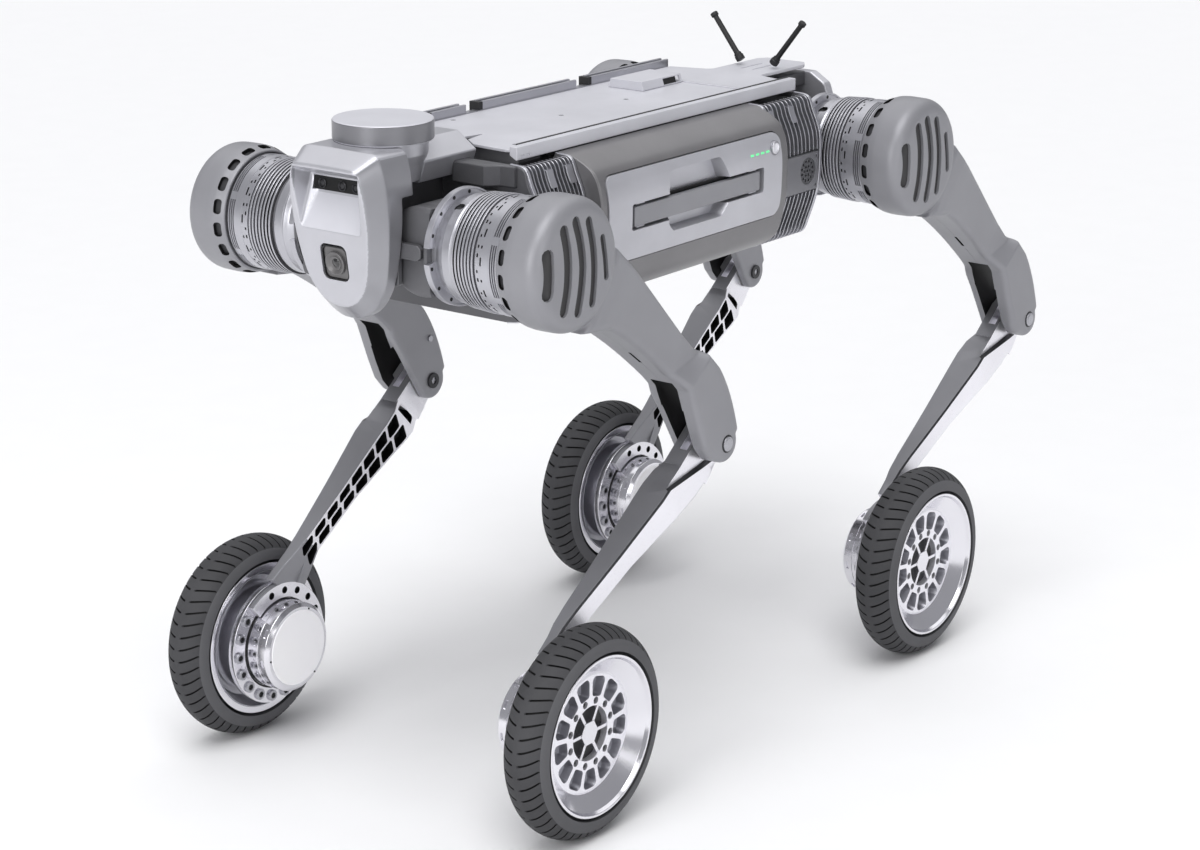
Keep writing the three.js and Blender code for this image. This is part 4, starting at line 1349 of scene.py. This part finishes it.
def build_head():
    half = smooth_curve(HEAD_HALF, 8)
    outline = half + [(-y, z) for y, z in half[-2:0:-1]]
    path = fillet([(57, 385.5), (58, 387), (58, 404), (48, 424.6), (20, 424.6)], 3.0,
                  closed=False, steps=5)[:-1]
    rings = []
    for size, x in path:
        scale = size / 58
        rings.append(([(y * scale, HEAD_MIDDLE_Z + (z - HEAD_MIDDLE_Z) * scale)
                       for y, z in outline], x))
    head = tilted(loft(rings, "X"))
    # The crown reaches back over the hips.
    crown = [p for p in outline if p[1] > 650]
    crown = sorted(crown, key=lambda p: math.atan2(p[1] - 640, p[0]))
    head = united(head, slab(crown, 369, 388, "X", 0.0, 2.0))
    visor = hull([(x, side * y, z) for side in (-1, 1) for x, y, z in (
        (411.5, 37, 669.5), (411.5, 28, 651), (431, 40, 608), (460, 50, 688), (460, 42, 600))])
    visor = softened(visor, 1.2, 3)
    head = carved(head, visor)
    head = softened(head, 1.0, 3)
    sensor = block(400, 424, -34.2, 34.2, 653, 667)
    camera = slab(rounded(-17.2, 17.2, 565.8, 603.2, 7.5), 407, 460, "X")
    head = carved(head, sensor, camera)
    # The visor's upward-facing slope takes the lighter paint: painted light on the slope.
    repainted(head, lambda c, n: abs(c.y) < 42 and 603 < c.z < 652 and n.z > 0.25 and c.x < 441)
    # The head's side faces take the darker head paint: painted shade on the flanks.
    for face in head.data.polygons:
        across, height = abs(face.center.y), face.center.z
        outside = across > 42 or height < 562 or (height < 598 and across > 20)
        if outside and face.normal.x < 0.8 and face.normal.z < 0.5:
            face.material_index = 2
    trunk_piece("head_mask", head, ("head_paint", "light_paint", "head_flank_shade"),
                ["head_shell"], sharp=48)
    bar = block(402.6, 412.6, -33.8, 33.8, 653.4, 666.6, 1.0)
    trunk_piece("sensor_bar", bar, "sensor_black", ["depth_camera"])
    lenses = []
    for y in (-22, 4, 22):
        ring = turned([(3.3, 0), (5.0, 0), (5.0, 1.3), (4.4, 1.6), (3.5, 0.6)], 40)
        eye = lathe([(0, 0), (3.2, 0), (2.6, 0.7), (0, 1.0)], 32)
        lenses.append(facing_front(joined([ring, eye]), 412.3, y, 660))
    trunk_piece("sensor_lenses", joined(lenses), "dark_steel")
    lean = about(9.1, "Y", 415, 0, 586)
    bezel = slab(rounded(-16.6, 16.6, 566.4, 602.6, 7), 409, 421.4, "X", 1.3)
    bezel = carved(bezel, slab(rounded(-15, 15, 568, 601, 5.8), 419.2, 430, "X"))
    trunk_piece("camera_bezel", moved(bezel, lean), "black_plastic",
                ["front_camera"])
    face = slab(rounded(-14.8, 14.8, 568.2, 600.8, 5.6), 418.4, 419.8, "X", 0.4)
    cone = lathe([(4.6, 0.6), (11.6, 0), (12.2, 0.4), (12.2, 3.4, 0.6), (11.0, 3.8, 0.4),
                  (7.4, 1.8), (7.2, 2.3), (6.0, 2.0), (4.6, 1.4)], 72, steps=2)
    dial = joined([face, facing_front(cone, 419.4, 0, 584.6)])
    trunk_piece("camera_face", moved(dial, lean), "lens_grey")
    glass = lathe([(0, 0), (4.8, 0), (4.4, 1.2), (2.4, 2.2), (0, 2.5)], 48)
    trunk_piece("camera_lens", moved(facing_front(glass, 419.6, 0, 584.6), lean), "lens_glass")


MAST_X = 346


def build_mast():
    neck = lathe([(0, 657), (37, 657), (38, 662, 3), (40.5, 673, 8), (45, 684, 6),
                  (45, 696.3, 0.6), (0, 696.3)], 128, steps=5)
    neck = carved(facing_up(neck, MAST_X), block(379.5, 400, -60, 60, 650, 700),
                  block(290, 304.5, -60, 60, 650, 700))
    trunk_piece("mast_neck", neck, "head_paint", ["scanner_neck"])
    cap = lathe([(0, 696.9), (49.6, 696.9, 0.8), (51, 698.6, 1.2), (51, 716.8, 1.6),
                 (49.8, 718, 1.2), (0, 718)], 160, steps=4)
    # The cap's side takes a darker paint than its top: painted shade.
    cap = repainted(facing_up(cap, MAST_X), lambda c, n: abs(n.z) < 0.5)
    trunk_piece("mast_cap", cap, ("light_paint", "cap_side_shade"), ["scanner_cap"])


ANTENNA_LEAN = 38


def build_antennas():
    for name, side in (("left", 1), ("right", -1)):
        joint = JOINTS[f"{name}_antenna_tilt"]
        pivot = Vector(joint["pos_m"]) * 1000
        mast = lathe([
            (0, 0.8), (5.4, 0.8, 0.8), (5.4, 6.5, 0.6), (4.6, 7.2), (4.6, 9.4, 0.6), (3.3, 11.4),
            (3.1, 61), (4.5, 62.2, 0.4), (4.5, 66.4, 0.9), (0, 66.9)], 40, steps=3)
        place = shift(*pivot) @ spin(-side * ANTENNA_LEAN, "X") @ spin(90, "X")
        placed(f"antenna_{name}_mast", mast, "black_plastic", f"antenna_{name}",
               place, [f"{name}_antenna"])
        discard(mast)


def finish_frame_nodes():
    for name, look in (("chassis", "slate_paint"), ("belly_cover", "shell_paint")):
        node = frame["nodes"][name]
        node.data.materials.clear()
        node.data.materials.append(LOOKS[look])


def build_studio():
    bpy.ops.mesh.primitive_grid_add(x_subdivisions=4, y_subdivisions=4, size=120,
                                    location=(0, 0, 0))
    floor = bpy.context.object
    floor.name = "studio_floor"
    floor.data.materials.append(shader("studio_floor", (0.88, 0.88, 0.885), 0.85, drift=0.005))
    world = bpy.data.worlds.new("studio")
    bpy.context.scene.world = world
    world.use_nodes = True
    sky = world.node_tree.nodes["Background"]
    sky.inputs["Color"].default_value = (0.94, 0.95, 1.0, 1.0)
    sky.inputs["Strength"].default_value = 0.36
    bpy.context.scene.view_settings.view_transform = "Standard"
    # Broad soft suns light the floor evenly, and two panels put highlights on the metal.
    for name, toward, strength, angle in (
            ("key_sun", (0.8, 0.45, 2.1), 1.75, 45), ("fill_sun", (-0.9, -0.5, 1.9), 0.85, 70)):
        lamp = bpy.data.lights.new(name, "SUN")
        lamp.energy = strength
        lamp.angle = math.radians(angle)
        added(name, lamp).rotation_euler = Vector(toward).to_track_quat("Z", "Y").to_euler()
    for name, place, size, power in (
            ("side_panel", (1.2, 2.8, 1.3), 1.2, 8), ("front_panel", (3.1, 0.2, 1.3), 1.6, 26)):
        lamp = bpy.data.lights.new(name, "AREA")
        lamp.shape = "DISK"
        lamp.size = size
        lamp.energy = power
        item = added(name, lamp)
        item.location = place
        aim = Vector((0, 0, 0.4)) - Vector(place)
        item.rotation_euler = aim.to_track_quat("-Z", "Y").to_euler()


# The camera that the photo was taken with, as fitted: its place, the spot that it looks at,
# its roll in degrees and its lens in millimetres.
CAMERA_PLACE = (2.5864, 1.8723, 1.2527)
CAMERA_TARGET = (0.0729, 0.0, 0.3129)
CAMERA_ROLL = 0.2
CAMERA_LENS = 87.03


def build_camera():
    data = bpy.data.cameras.new("camera")
    data.sensor_width = 36
    data.lens = CAMERA_LENS
    camera = added("camera", data)
    camera.location = CAMERA_PLACE
    aim = Vector(CAMERA_TARGET) - camera.location
    turn = aim.to_track_quat("-Z", "Y").to_matrix().to_4x4() @ spin(CAMERA_ROLL, "Z")
    camera.rotation_euler = turn.to_euler()
    bpy.context.scene.camera = camera


for build in (build_camera, build_studio, build_wheel, build_hub, build_calf, build_thigh,
              build_knee, build_hip, build_legs, build_shells, build_battery):
    build()
build_end("front", False)
build_end("rear", True)
for build in (build_front, build_rear, build_deck, build_head, build_mast, build_antennas,
              finish_frame_nodes):
    build()
